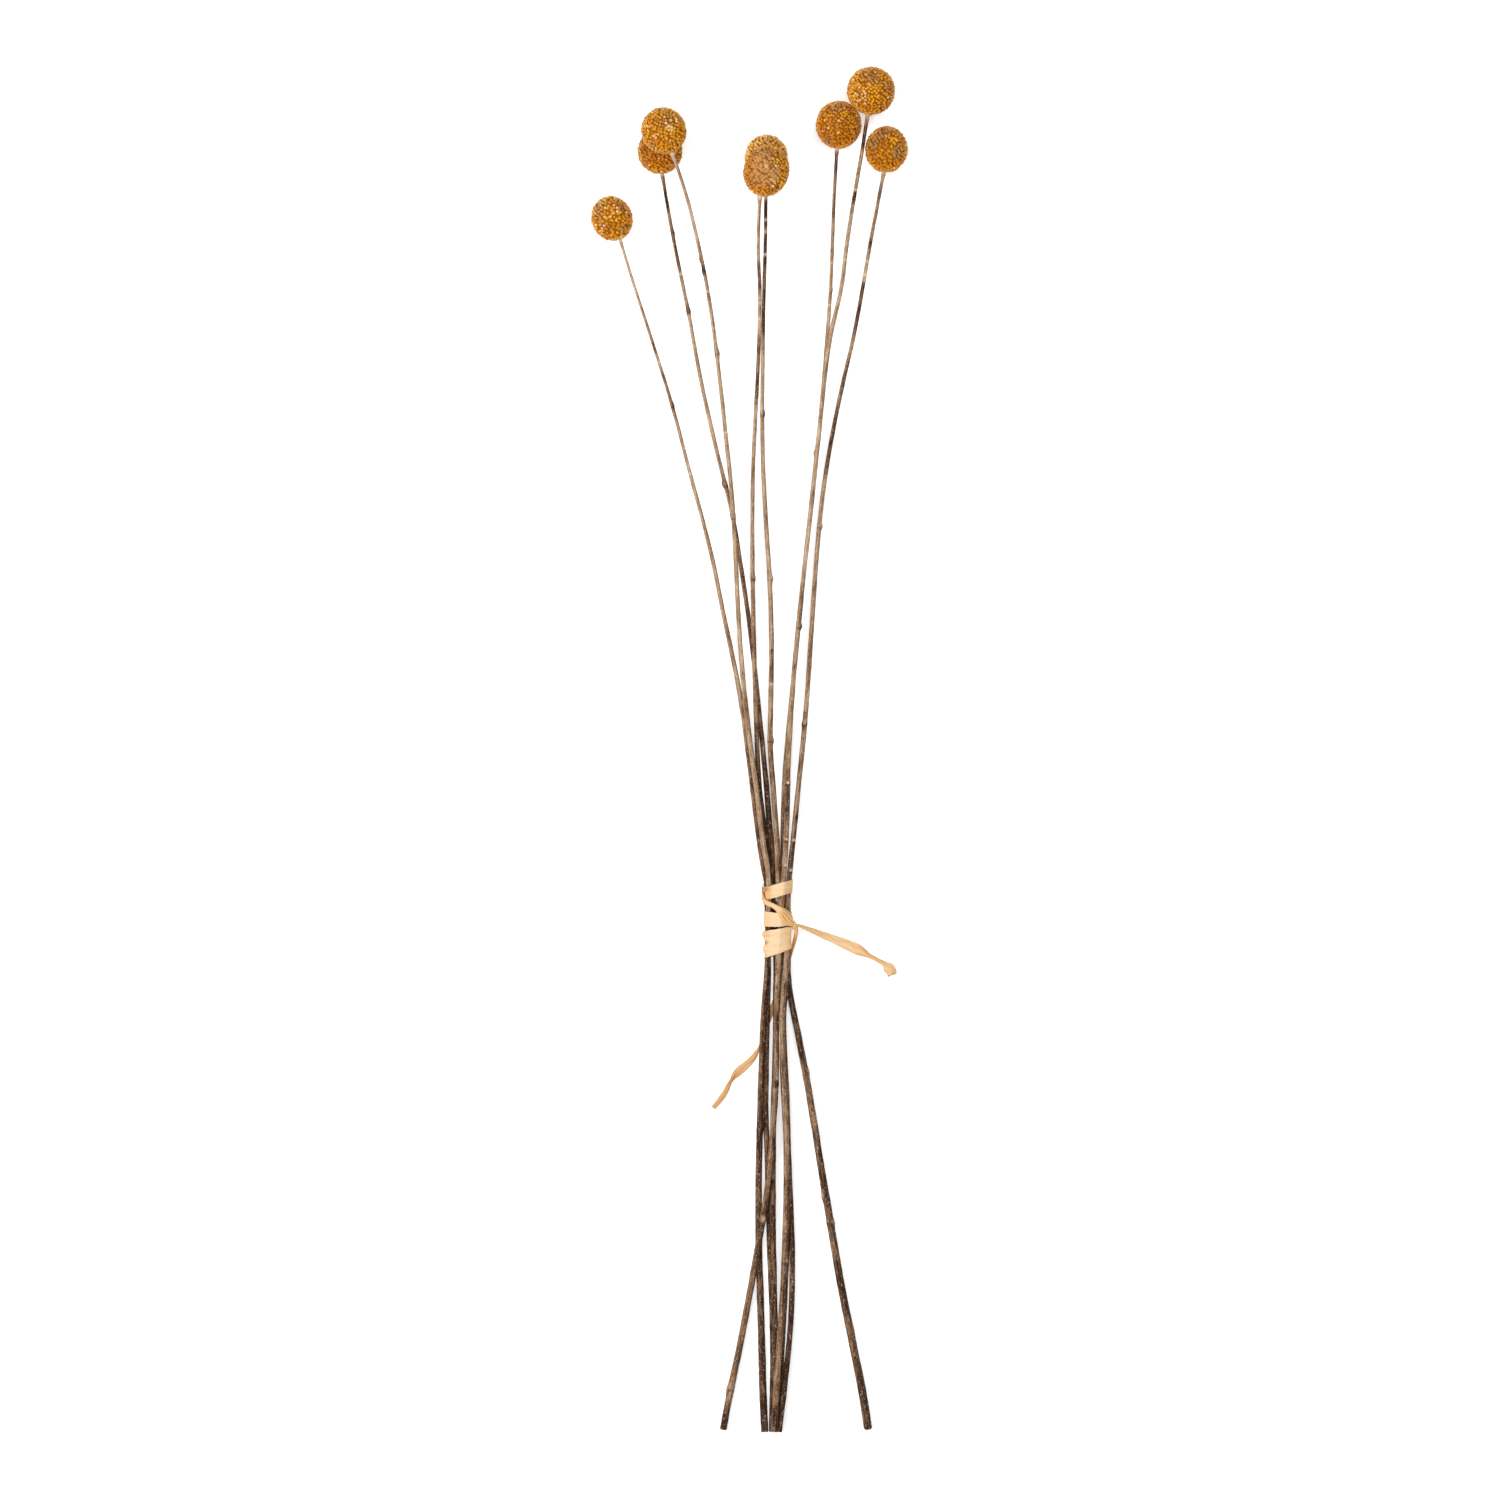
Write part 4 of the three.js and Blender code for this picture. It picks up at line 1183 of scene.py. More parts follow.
        # painted highlight: more of them have pale lips towards the glint's direction
        pale_share = self.look.paleness * (1 - 0.5 * below) + 0.5 * self._glinting(ways)
        creamy = np.where(chance["paling"] < pale_share, 0.55 + 0.45 * chance["cream"],
                          (0.04 + 0.12 * chance["cream"]) * (1 - 0.7 * below))
        creamy = np.clip(creamy + (0.36 - 0.12 * below) * painted_rim_sheen, 0, 1)
        grey = crowd.grey + self.look.fading * (distal - 0.5) + self.look.greyness - 0.34
        withered = smooth_step(0.05, 0.75, grey + 0.4 * (chance["withering"] - 0.5))
        withered = 0.85 * withered * (1 - 0.7 * painted_rim_sheen)
        tone = 0.5 + self.look.goldness + 0.7 * patches(ways, 0.35, self.random)
        tone = np.clip(tone + 0.8 * (chance["tone"] - 0.5) - 0.2 * below, 0, 1)
        along = waves(10 * ways[:, 0] + ways[:, 1], (3.1, 1.9, 1.3), self.random)
        streak = 1 - 0.5 * smooth_step(0.1, 0.7, along)
        return {
            "tone": np.broadcast_to(tone[:, None], tip.shape),
            "withered": withered[:, None] * (0.35 + 0.65 * tip),
            "worn": np.broadcast_to((0.9 * rubbed * streak)[:, None], tip.shape),
            "cream": creamy[:, None] * tip**2,
            # depth: painted shade, darker towards each floret's foot and at the rims of clumps, less so where
            # worn florets lie flat
            "depth": tip * (1 - 0.25 * crowd.rim[:, None]) + 0.85 * (1 - tip) * rubbed[:, None],
        }

    def florets(self) -> Skin:
        """Makes all the florets but those that are missing from a worn patch.

        Returns:
            The skin, with the marks tone, cream, withered, worn and depth.
        """
        crowd = self._crowd()
        points, tip = self._corners(crowd)
        colours = self._colours(crowd, tip)
        keep = ~self._pitted(crowd.ways)
        points = points[keep]
        quads, triangles = self._floret_faces()
        starts = (np.arange(len(points)) * points.shape[1])[:, None, None]
        faces = [(quads + starts).reshape(-1, 4), (triangles + starts).reshape(-1, 3)]
        marks = {name: value[keep].reshape(-1) for name, value in colours.items()}
        return Skin(points.reshape(-1, 3), faces, marks)

    def _glinting(self, ways: Array) -> Array:
        """Measures how near directions are to the spot of painted highlight.

        Args:
            ways: the directions.

        Returns:
            Values from 0 to 1.
        """
        if self.look.glint is None:
            return np.zeros(len(ways))
        return smooth_step(0.88, 0.98, self._turned(ways) @ unit(np.array(self.look.glint)))

    def _rubbed(self, ways: Array) -> Array:
        """Measures how worn the head is in each direction.

        Args:
            ways: the directions.

        Returns:
            Values from 0 to 1.
        """
        worn = self.look.worn
        if worn is None:
            return np.zeros(len(ways))
        edge = 0.05 * patches(self._turned(ways), 0.3, np.random.default_rng(9))
        place = (self._ball(ways, 0.0) - self.centre)[:, :2]
        whole = bell(np.linalg.norm(place - np.array(worn.whole), axis=1), 0, worn.whole_reach)
        return smooth_step(*worn.edge, self._turned(ways) @ unit(np.array(worn.facing)) + edge) * (1 - whole)

    def _pitted(self, ways: Array) -> Array:
        """Finds where florets are missing: at the pits, and under and right beside the scar.

        Args:
            ways: the directions.

        Returns:
            True for each direction in which the floret is missing.
        """
        worn = self.look.worn
        missing = np.zeros(len(ways), bool)
        if worn is None:
            return missing
        place = self._ball(ways, 0.0) - self.centre
        for pit in worn.pits:
            missing |= np.linalg.norm(place[:, :2] - np.array(pit), axis=1) < worn.pit_reach
        start, end = np.array(worn.scar_from), np.array(worn.scar_to)
        share = np.clip((place[:, :2] - start) @ (end - start) / ((end - start) @ (end - start)), 0, 1)
        beside = np.linalg.norm(place[:, :2] - start - share[:, None] * (end - start) - [0.45, 0.1], axis=1)
        return (missing | (beside < 1.15)) & (place[:, 2] > 0)

    def core(self) -> Skin:
        """Makes the core under the florets, painted dark as the shade between them: the egg shape again, lower,
        with low bumps.

        Returns:
            The skin, with the same marks as the florets.
        """
        rows, columns = self.core_size
        polar = np.linspace(0, np.pi, rows + 2)[1:-1]
        turn = np.arange(columns) * FULL_TURN / columns
        polar, turn = np.meshgrid(polar, turn, indexing="ij")
        ways = np.stack([np.sin(polar) * np.cos(turn), np.cos(polar), np.sin(polar) * np.sin(turn)], -1)
        bumps = patches(ways.reshape(-1, 3), 0.09, self.random).reshape(polar.shape)
        depth = (self.sink + self.core_sink - 0.1 * bumps).ravel()
        rings = self._ball(ways.reshape(-1, 3), depth).reshape(ways.shape)
        even = np.ones_like(polar)
        # depth: painted shade, darkest in the dips between the bumps
        marks = {"tone": 0.2 * even, "withered": 0.3 * even, "worn": 0 * even, "cream": 0 * even,
                 "depth": 0.32 + 0.12 * bumps}
        return sleeve(rings, marks)

    def scar(self) -> Skin:
        """Makes the crescent scar, a low smooth ridge that follows the head between two places in plan.

        Its middle line bends outwards in plan by a sine, and its section is an arch that thins to both ends.

        Returns:
            The skin, with the same marks as the florets.
        """
        worn = self.look.worn
        rows, columns = self.scar_size
        share = np.linspace(0, 1, rows)
        start, end = np.array(worn.scar_from), np.array(worn.scar_to)
        sideways = np.array([end[1] - start[1], start[0] - end[0]]) / np.linalg.norm(end - start)
        bend = worn.scar_bend * np.sin(np.pi * share)
        plan = start + np.outer(share, end - start) - np.outer(bend, sideways)
        swell = np.sin(np.pi * np.clip(share * 1.08, 0, 1)) ** 0.7 * (1 + 0.2 * np.sin(21 * share))
        width = (worn.scar_width[0] + worn.scar_width[1] * swell)[:, None]
        turn = np.arange(columns) * FULL_TURN / columns
        flat = plan[:, None] + sideways * (width * np.cos(turn))[..., None]
        inside = np.clip(1 - (flat[..., 0] / self.half[0]) ** 2 - (flat[..., 1] / self.half[1]) ** 2, 0, 1)
        lift = worn.scar_height * width * np.sin(turn) + 0.05 * np.sin(9 * share)[:, None]
        height = self.half[2] * np.sqrt(inside) - 0.12 + lift
        rings = np.concatenate([flat, height[..., None]], -1) + self.centre
        even = np.ones_like(lift)
        # depth: painted shade, darker towards the foot of the ridge
        marks = {"tone": 0.9 * even, "withered": 0.7 * even, "worn": 0.6 * even,
                 "cream": 0.28 * np.clip(0.5 + lift / 0.3, 0, 1), "depth": np.clip(0.6 + lift / 0.3, 0.1, 1)}
        return sleeve(rings, marks)

    def skin(self) -> Skin:
        """Joins the florets, the core and any scar, pressed flat where the head rests.

        Returns:
            The head's skin.
        """
        skins = [self.core(), self.florets()]
        if self.look.worn is not None:
            skins.append(self.scar())
        whole = Skin.joined(skins)
        if self.resting:
            whole.points[:, 2] = np.maximum(whole.points[:, 2], self.lowest)
        return whole

    def build(self, finish: bpy.types.Material) -> bpy.types.Object:
        """Makes the head's piece in place of its node."""
        node = f"head_{self.number}"
        return mesh_piece(f"floret_{node}", self.skin(), finish, node)


# ---------------------------------------------------------------- raffia


def two_faced(outer: Array, inner: Array) -> Array:
    """Values over a strip's outer face and, on the way back, over its inner face."""
    return np.concatenate([outer, inner[:, ::-1]], axis=1)


def fibre_relief(across: Array, along: Array, random: np.random.Generator) -> Array:
    """Works out how far fibres stand out of a strip: three fine sines across it, over a soft crease.

    Args:
        across: places across the strip, in millimetres.
        along: angles that move the fibres sideways along the strip.
        random: where the starts of the sines come from.

    Returns:
        Heights, in millimetres.
    """
    starts = random.uniform(0, FULL_TURN, 5)
    fine = sum(np.sin(FULL_TURN * across / size + start + 0.8 * np.sin(along + start))
               for size, start in zip((0.62, 0.47, 0.83), starts))
    crease = np.sin(FULL_TURN * across / 3.1 + starts[3] + np.sin(along + starts[4]))
    return 0.022 * fine + 0.05 * crease


@dataclass
class TautOutline:
    """The bunch's taut outline round the tie, held as a table over Y and the share of the way round.

    At each place along Y, the stem section that reaches furthest in a direction carries the outline there.
    The share starts at the top and goes down the left-hand side.
    """

    stems: list[StemLine]
    low: float = -26.0
    high: float = 24.0
    rows: int = 126
    directions: int = 144
    shares: int = 240

    def __post_init__(self) -> None:
        """Fills the table: in each direction, the middle's reach plus the radius decides the carrier."""
        y = np.linspace(self.low, self.high, self.rows)
        middles = np.stack([stem.middle(y) for stem in self.stems], axis=1)
        radii = np.stack([stem.radius(y) for stem in self.stems], axis=1)
        angle = np.linspace(0, FULL_TURN, self.directions + 1)
        ways = np.stack([-np.sin(angle), np.zeros_like(angle), np.cos(angle)], -1)
        reach = middles @ ways.T + radii[..., None]
        carrier = reach.argmax(axis=1)
        row = np.arange(self.rows)[:, None]
        corners = middles[row, carrier] + radii[row, carrier][..., None] * ways
        steps = np.linalg.norm(np.diff(corners, axis=1), axis=-1)
        walked = np.concatenate([np.zeros((self.rows, 1)), np.cumsum(steps, axis=1)], axis=1)
        walked = walked + np.linspace(0, TINY * 1e3, walked.shape[1])
        even = np.linspace(0, 1, self.shares + 1)
        table = [[np.interp(even * line[-1], line, value[:, k]) for k in range(3)]
                 for line, value in zip(walked, corners)]
        facing = [[np.interp(even * line[-1], line, ways[:, k]) for k in range(3)] for line in walked]
        self.points = np.array(table).transpose(0, 2, 1)
        self.facing = unit(np.array(facing).transpose(0, 2, 1))

    def _read(self, table: Array, y: Array, share: Array) -> Array:
        """Reads a table between its rows and columns.

        Args:
            table: the table.
            y: places along Y.
            share: shares of the way round.

        Returns:
            A vector for each place.
        """
        row = np.clip((y - self.low) / (self.high - self.low), 0, 1) * (self.rows - 1)
        column = np.mod(share, 1.0) * self.shares
        i, j = np.minimum(row.astype(int), self.rows - 2), np.minimum(column.astype(int), self.shares - 1)
        s, t = (row - i)[..., None], (column - j)[..., None]
        return ((table[i, j] * (1 - t) + table[i, j + 1] * t) * (1 - s)
                + (table[i + 1, j] * (1 - t) + table[i + 1, j + 1] * t) * s)

    def at(self, y: Array, share: Array, away: Array) -> Array:
        """Finds points outside the bunch.

        Args:
            y: places along Y.
            share: shares of the way round.
            away: distances away from the outline.

        Returns:
            The points.
        """
        point = self._read(self.points, y, share)
        point[..., 1] = y
        return point + self._read(self.facing, y, share) * away[..., None]


@dataclass(frozen=True)
class Turn:
    """One turn of the strip: its middle along Y and its width at the bunch's left and right side."""

    name: str
    left: float
    right: float
    wide_left: float
    wide_right: float
    seed: int
    under: float = 0.0  # how much wider it is below the bunch
    turned_end: float = 0.0  # how much painted shade, as amber, it has where it turns over on the left
    ragged: tuple[tuple[float, float], ...] = ()  # places along Y where its left edge stands off or dips in


TURNS = (
    Turn("upper", 11.4, 14.6, 5.7, 6.1, 3, turned_end=0.6),
    Turn("middle", 0.3, -0.1, 6.9, 5.2, 4, under=3.4),
    Turn("lower", -11.0, -7.9, 12.2, 10.1, 5,
         ragged=((-6.4, 1.3), (-10.0, -1.4), (-12.8, 0.7), (-15.6, -0.6))),
)


@dataclass(frozen=True)
class StrandPoint:
    """A place on a strand's way: share of the way round, place along Y, width, lift, painted fold shade, and
    stain and shade.
    """

    share: float
    y: float
    wide: float
    lift: float
    fold: float = 0.0
    stain: float = 0.0


CROSSING = (
    StrandPoint(0.40, 14.6, 3.0, 0.75, 0.9),
    StrandPoint(0.34, 13.6, 2.4, 0.8, 0.8, 0.9),
    StrandPoint(0.29, 11.6, 2.0, 0.95, 0.9, 0.7),
    StrandPoint(0.245, 9.0, 2.1, 1.15, 0.6),
    StrandPoint(0.19, 7.2, 2.1, 1.0, 0.2),
    StrandPoint(0.12, 6.2, 2.1, 0.8, 0.0),
    StrandPoint(0.05, 4.9, 2.6, 0.8, 0.1),
    StrandPoint(-0.02, 3.0, 4.4, 0.85, 0.3),
    StrandPoint(-0.08, 1.2, 5.6, 0.95, 0.4),
    StrandPoint(-0.13, -0.4, 4.8, 1.1, 0.4),
    StrandPoint(-0.17, -1.6, 2.8, 1.35, 0.35),
    StrandPoint(-0.20, -2.6, 1.6, 1.7, 0.4),
)
RETURN = (
    StrandPoint(-0.19, -2.2, 1.6, 1.3, 0.5),
    StrandPoint(-0.28, -0.5, 3.2, 0.75, 0.5),
    StrandPoint(-0.38, 2.6, 5.0, 0.7, 0.5),
    StrandPoint(-0.50, 5.6, 6.2, 0.7, 0.5),
    StrandPoint(-0.60, 8.4, 5.2, 0.7, 0.6),
    StrandPoint(-0.68, 11.4, 3.4, 0.75, 0.7),
    StrandPoint(-0.73, 13.2, 2.0, 0.75, 0.8),
)


@dataclass
class RaffiaTie:
    """The strip wound round the bunch: three turns, the strand that crosses to the knot, and the knot."""

    outline: TautOutline
    inner: float = 0.16
    thickness: float = 0.38
    closest: float = 0.06
    steps: int = 210
    columns: int = 30
    fibre_loop: float = 5.1  # radius of the ring on which a turn's fibres run, so that they meet
    strand_steps: int = 11  # for each place on a strand's way
    strand_columns: int = 26
    knot_share: float = -0.185
    knot_y: float = -2.4
    knot_out: float = 1.55
    knot_size: tuple[int, int] = (44, 48)  # rows and columns
    knot_half: tuple[float, float, float] = (2.0, 0.8, 0.9)  # lengthwise, outwards and sideways
    knot_way: tuple[float, float, float] = (0.12, 1.0, 0.0)

    def turn_skin(self, turn: Turn) -> Skin:
        """Winds one closed turn of strip round the outline.

        Its middle along Y and its width run evenly from the left to the right side of the bunch, and its
        outer face has fibre relief: sines across the strip whose starts drift slowly along it.

        Args:
            turn: the turn.

        Returns:
            The closed skin.
        """
        random = np.random.default_rng(turn.seed)
        share = np.arange(self.steps) / self.steps
        way = share * FULL_TURN
        halfway = np.full(self.steps, (turn.left + turn.right) / 2)
        guide = self.outline.at(halfway, share, np.zeros(self.steps))
        left, right = guide[:, 0].min(), guide[:, 0].max()
        over = (guide[:, 0] - left) / (right - left)
        middle = turn.left + (turn.right - turn.left) * over + 0.08 * np.sin(2 * way + turn.seed)
        under = smooth_step(0.38, 0.46, share) * smooth_step(-0.86, -0.76, -share)
        wide = turn.wide_left + (turn.wide_right - turn.wide_left) * over + turn.under * under
        edge_low = (0.07 * np.sin(3 * way + turn.seed) + 0.03 * np.sin(11 * way))[:, None]
        edge_high = (0.06 * np.sin(4 * way + 2 * turn.seed) + 0.03 * np.sin(9 * way))[:, None]
        across = np.linspace(-1, 1, self.columns)
        y = (middle[:, None] + across * wide[:, None] / 2
             + np.where(across > 0, edge_high, edge_low) * np.abs(across) ** 3)
        share, way, over = (np.broadcast_to(value[:, None], y.shape) for value in (share, way, over))
        relief = fibre_relief(y - middle[:, None], way, random) - 0.12 * np.abs(across) ** 6
        stand_off, notch = self._ragged(turn, share, y)
        away = np.maximum(self.inner + self.thickness + relief + stand_off, self.closest)
        back = away - self.thickness * (1 - 0.3 * np.abs(across) ** 4)
        rings = two_faced(self.outline.at(y, share, away), self.outline.at(y, share, back))
        # painted shade, as amber: where the strip turns away at both sides of the bunch, in bands on the lower
        # part of its right-hand side, and where it turns over on the left
        side = smooth_step(0.35, 1.0, np.abs(over - 0.45) * 2)
        right_side = smooth_step(0.62, 0.95, over) * (0.5 - 0.5 * across)
        shaded = 0.35 * right_side * smooth_step(-0.3, 0.6, np.sin(y / 2.2 + turn.seed))
        fold = np.clip(turn.turned_end * bell(share, 0.2, 0.06) + 0.3 * side + shaded, 0, 1)
        # painted shade darkens its edges where it turns away; notches, chafed spots and the corner at its upper
        # left edge are darkened too
        corner = bell(share, 0.24, 0.05) * bell(y, turn.left + 0.35 * turn.wide_left, 0.9)
        rim = smooth_step(0.9, 1.0, np.abs(across)) * side
        stain = 0.9 * notch + 0.5 * rim + 1.3 * turn.turned_end * corner
        where = [self.fibre_loop * np.cos(way), y, self.fibre_loop * np.sin(way) + 220.0 * turn.seed]
        return sleeve(rings + TIE_MIDDLE, self._marks(np.stack(where, -1), fold, stain), looped=True)

    @staticmethod
    def _ragged(turn: Turn, share: Array, y: Array) -> tuple[Array, Array]:
        """Works out the ragged left edge of a turn: a bell at each of its places.

        Args:
            turn: the turn.
            share: shares of the way round.
            y: places along Y.

        Returns:
            How far the strip stands off or dips in, and how dark that leaves it.
        """
        stand_off, notch = np.zeros_like(y), np.zeros_like(y)
        for place, amount in turn.ragged:
            at_edge = bell(share, 0.24, 0.06) * bell(y, place, 0.8 if amount < 0 else 1.3)
            chafed = bell(share, 0.17, 0.05) * bell(y, place - 0.8, 0.3)
            stand_off = stand_off + amount * at_edge
            notch = notch + max(-amount, 0) * at_edge + 0.3 * max(amount, 0) * chafed
        return stand_off, notch

    @staticmethod
    def _marks(where: Array, fold: Array, stain: Array) -> dict[str, Array]:
        """Sets out a strip's marks over both its faces, the inner one with more painted shade, as amber.

        Args:
            where: where each point is on the strip.
            fold: how much painted shade, as amber, it has.
            stain: how much stain and painted shade darken it.

        Returns:
            The marks along, fold and stain.
        """
        return {"along": two_faced(where, where), "fold": two_faced(fold, np.clip(fold + 0.3, 0, 1)),
                "stain": two_faced(stain, stain)}

    def strand_skin(self, strand: tuple[StrandPoint, ...], seed: int) -> Skin:
        """Runs a strand over the bunch through the given places, creased where it spreads out.

        Its section is an arch with creases, which are sines across it that fade where it is narrow.

        Args:
            strand: the places on its way.
            seed: what its relief is drawn from.

        Returns:
            The closed skin.
        """
        random = np.random.default_rng(seed)
        table = np.array([[p.share, p.y, p.wide, p.lift, p.fold, p.stain] for p in strand])
        walked = np.arange(len(table), dtype=float)
        steps = np.linspace(0, walked[-1], self.strand_steps * len(table))
        share, y, wide, lift, fold, dark = smooth_through(walked, table, steps).T
        on_bunch = self.outline.at(y, share, lift)
        forward = unit(np.gradient(on_bunch, axis=0))
        outward = unit(on_bunch - self.outline.at(y, share, np.zeros_like(y)))
        side = unit(np.cross(forward, outward))
        wide, fold, dark = wide[:, None], fold[:, None], dark[:, None]
        across = np.linspace(-1, 1, self.strand_columns)
        beside = across * wide / 2
        spread_out = smooth_step(2.2, 4.6, wide)
        creases = (0.2 * np.sin(3.5 * np.pi * across + 0.4) * spread_out
                   + fibre_relief(beside, 0.6 * steps[:, None], random))
        arch = -0.125 * wide * across**2
        spread = on_bunch[:, None] + side[:, None] * beside[..., None]
        outer = spread + outward[:, None] * (arch + creases + 0.2)[..., None]
        inner = spread + outward[:, None] * (arch + creases - 0.12 + 0.1 * across**4)[..., None]
        length = np.broadcast_to(steps[:, None] * 2.4, creases.shape)
        # painted shade, as amber, in the troughs of the creases and along the edges where the strand is narrow
        shade = np.clip(fold + 0.9 * smooth_step(0.0, 0.2, -creases) * spread_out
                        + 0.45 * smooth_step(0.55, 1.0, np.abs(across)) * (1 - spread_out), 0, 1)
        # painted shade darkens the edges where it is folded; the given darkness of its places is added
        stain = 0.9 * smooth_step(0.5, 1.0, np.abs(across)) * smooth_step(0.35, 0.8, fold)
        stain = np.clip(stain + dark, 0, 1)
        where = np.stack([length, beside, np.full_like(length, 150.0 * seed)], -1)
        return sleeve(two_faced(outer, inner) + TIE_MIDDLE, self._marks(where, shade, stain))

    def knot_skin(self) -> Skin:
        """Makes the knot, a lump drawn in to its two ends, with ridges that run from one end to the other.

        Returns:
            The closed skin.
        """
        rows, columns = self.knot_size
        along = np.linspace(-1, 1, rows)[:, None]
        turn = np.arange(columns) * FULL_TURN / columns
        y, share, away = np.full(2, self.knot_y), np.full(2, self.knot_share), np.array([0.0, self.knot_out])
        surface, middle = self.outline.at(y, share, away)
        outward = unit(middle - surface)
        lengthwise = np.array(self.knot_way)
        lengthwise = unit(lengthwise - outward * (lengthwise @ outward))
        beside = np.cross(lengthwise, outward)
        half_length, half_out, half_side = self.knot_half
        ridges = 1 + 0.13 * np.sin(5 * turn + 2.2 * along) + 0.05 * np.sin(11 * turn - 3 * along)
        radius = (0.2 + (1 - along**2) ** 0.55) * ridges
        rings = (middle + along[..., None] * lengthwise * half_length
                 + (radius * np.cos(turn))[..., None] * outward * half_out
                 + (radius * np.sin(turn))[..., None] * beside * half_side)
        length, beside_way = np.broadcast_arrays(along * 4, turn * 1.4)
        where = np.stack([length, beside_way, np.full_like(radius, 1800.0)], -1)
        # painted shade, as amber and darker, in the grooves between the ridges and on its side towards the
        # bunch
        fold = np.clip(0.55 - 2.0 * (ridges - 1) - 0.2 * np.cos(turn), 0, 1)
        marks = {"along": where, "fold": fold, "stain": 0.25 * smooth_step(0.5, 1, fold)}
        return sleeve(rings + TIE_MIDDLE, marks)

    def build(self, finish: bpy.types.Material) -> bpy.types.Object:
        """Makes the tie's piece in place of its node.

        Args:
            finish: its material.

        Returns:
            The piece.
        """
        skins = [self.turn_skin(turn) for turn in TURNS]
        skins += [self.strand_skin(CROSSING, 21), self.strand_skin(RETURN, 22), self.knot_skin()]
        return mesh_piece("raffia_binding", Skin.joined(skins), finish, "raffia_tie")


@dataclass(frozen=True)
class TailPlace:
    """A place on a loose end: share of its length, width, roll from lying flat in degrees, curl, and painted
    shade in its folds.
    """

    share: float
    wide: float
    roll: float
    curl: float
    fold: float = 0.0


@dataclass
class RaffiaTail:
    """A loose end of the strip: a thin ribbon that curls, folds and frays, lying down on the surface."""

    name: str
    node: str
    way: tuple[tuple[float, float, float], ...]
    places: tuple[TailPlace, ...]
    width: float
    seed: int
    frays: int
    fray_length: float
    # share of the painted fold shade that also darkens it
    shade_darkening: float
    thickness: float = 0.34
    narrowest: float = 0.5
    lowest: float = 0.03
    step: float = 0.45
    columns: int = 20
    fine_points: int = 800
    path_points: int = 32

    def line(self, count: int) -> tuple[Array, Array, float]:
        """Spreads points evenly along the smooth curve through the way.

        Args:
            count: number of points.

        Returns:
            The points, their shares of the length, and the length.
        """
        way = np.array(self.way)
        chords = np.concatenate([[0], np.cumsum(np.linalg.norm(np.diff(way, axis=0), axis=1))])
        fine = smooth_through(chords, way, np.linspace(0, chords[-1], self.fine_points))
        walked = np.concatenate([[0], np.cumsum(np.linalg.norm(np.diff(fine, axis=0), axis=1))])
        even = np.linspace(0, walked[-1], count)
        points = np.stack([np.interp(even, walked, fine[:, k]) for k in range(3)], -1)
        return points, even / walked[-1], float(walked[-1])

    def skin(self) -> Skin:
        """Carries the ribbon's section along its way.

        Across the strip the section is an arc whose angle is its curl, turned about the middle line by the
        roll; fibre relief runs along it, and the end is split into pointed frays of uneven length.

        Returns:
            The closed skin.
        """
        random = np.random.default_rng(self.seed)
        length = self.line(2)[2]
        points, share, length = self.line(int(length / self.step))
        walked = share * length
        table = np.array([[p.share, p.wide, p.roll, p.curl, p.fold] for p in self.places])
        wide, roll, curl, fold = smooth_through(table[:, 0], table[:, 1:], share).T
        wide = np.maximum(wide, self.narrowest) * (1 + 0.04 * waves(walked, (7.0, 3.1, 1.7), random))
        wide, roll = wide[:, None], np.radians(roll)[:, None]
        forward = unit(np.gradient(points, axis=0))
        side = unit(np.cross(forward, UPWARD))
        up = np.cross(side, forward)
        beside = side * np.cos(roll) + up * np.sin(roll)
        normal = up * np.cos(roll) - side * np.sin(roll)
        across = np.linspace(-1, 1, self.columns)
        bend = np.maximum(np.radians(curl), 0.02)[:, None]
        flat = wide / 2 * np.sin(bend * across) / bend
        drop = -wide / 2 * (1 - np.cos(bend * across)) / bend
        drop = drop - drop.mean(axis=1, keepdims=True)
        relief = fibre_relief(across * wide / 2, walked[:, None] / 4, random)
        crease = 0.14 * np.sin(np.pi * across * 1.5 + 2 * waves(walked, (19.0, 8.0), random)[:, None])
        lift = drop + relief + crease * smooth_step(1.5, 3.5, wide)
        thin = self.thickness / 2 * (1 - 0.75 * across**6)
        end = self._fray(across, walked, length)
        base = points[:, None] + beside[:, None] * flat[..., None] - forward[:, None] * end[..., None]
        rings = two_faced(base + normal[:, None] * (lift + thin)[..., None],
                          base + normal[:, None] * (lift - thin)[..., None])
        rings[..., 2] = np.maximum(rings[..., 2], self.lowest)
        along = np.broadcast_to(walked[:, None], lift.shape)
        where = np.stack([along, across * wide / 2, np.full_like(lift, 260.0 * self.seed)], -1)
        # painted shade, as amber, at the given folds and in the troughs of the creases; a share of it darkens
        # the tail
        shade = np.clip(fold[:, None] + 0.25 * smooth_step(0.02, -0.14, crease), 0, 1)
        marks = {name: two_faced(value, value)
                 for name, value in (("along", where), ("fold", shade), ("stain", self.shade_darkening * shade))}
        return sleeve(rings + TIE_MIDDLE, marks)

    def _fray(self, across: Array, walked: Array, length: float) -> Array:
        """Splits the end into teeth, which are a cosine across the strip over its last stretch.

        Args:
            across: places across the strip, from -1 to 1.
            walked: distances along it.
            length: its length.

        Returns:
            How far each point is drawn back.
        """
        teeth = 0.5 + 0.5 * np.cos(self.frays * np.pi * across + self.seed)
        deep = self.fray_length * teeth * (0.6 + 0.4 * np.sin(5 * across + self.seed))
        near_end = smooth_step(length - 1.6 * self.fray_length, length, walked)
        return near_end[:, None] * deep

    def build(self, finish: bpy.types.Material) -> bpy.types.Object:
        """Args:
            finish: its material.

        Returns:
            The piece.
        """
        piece = mesh_piece(self.name, self.skin(), finish, self.node)
        points, _, length = self.line(self.path_points)
        LOG.info("%s: %.1f mm long, %.1f mm wide", self.name, length, self.width)
        return piece


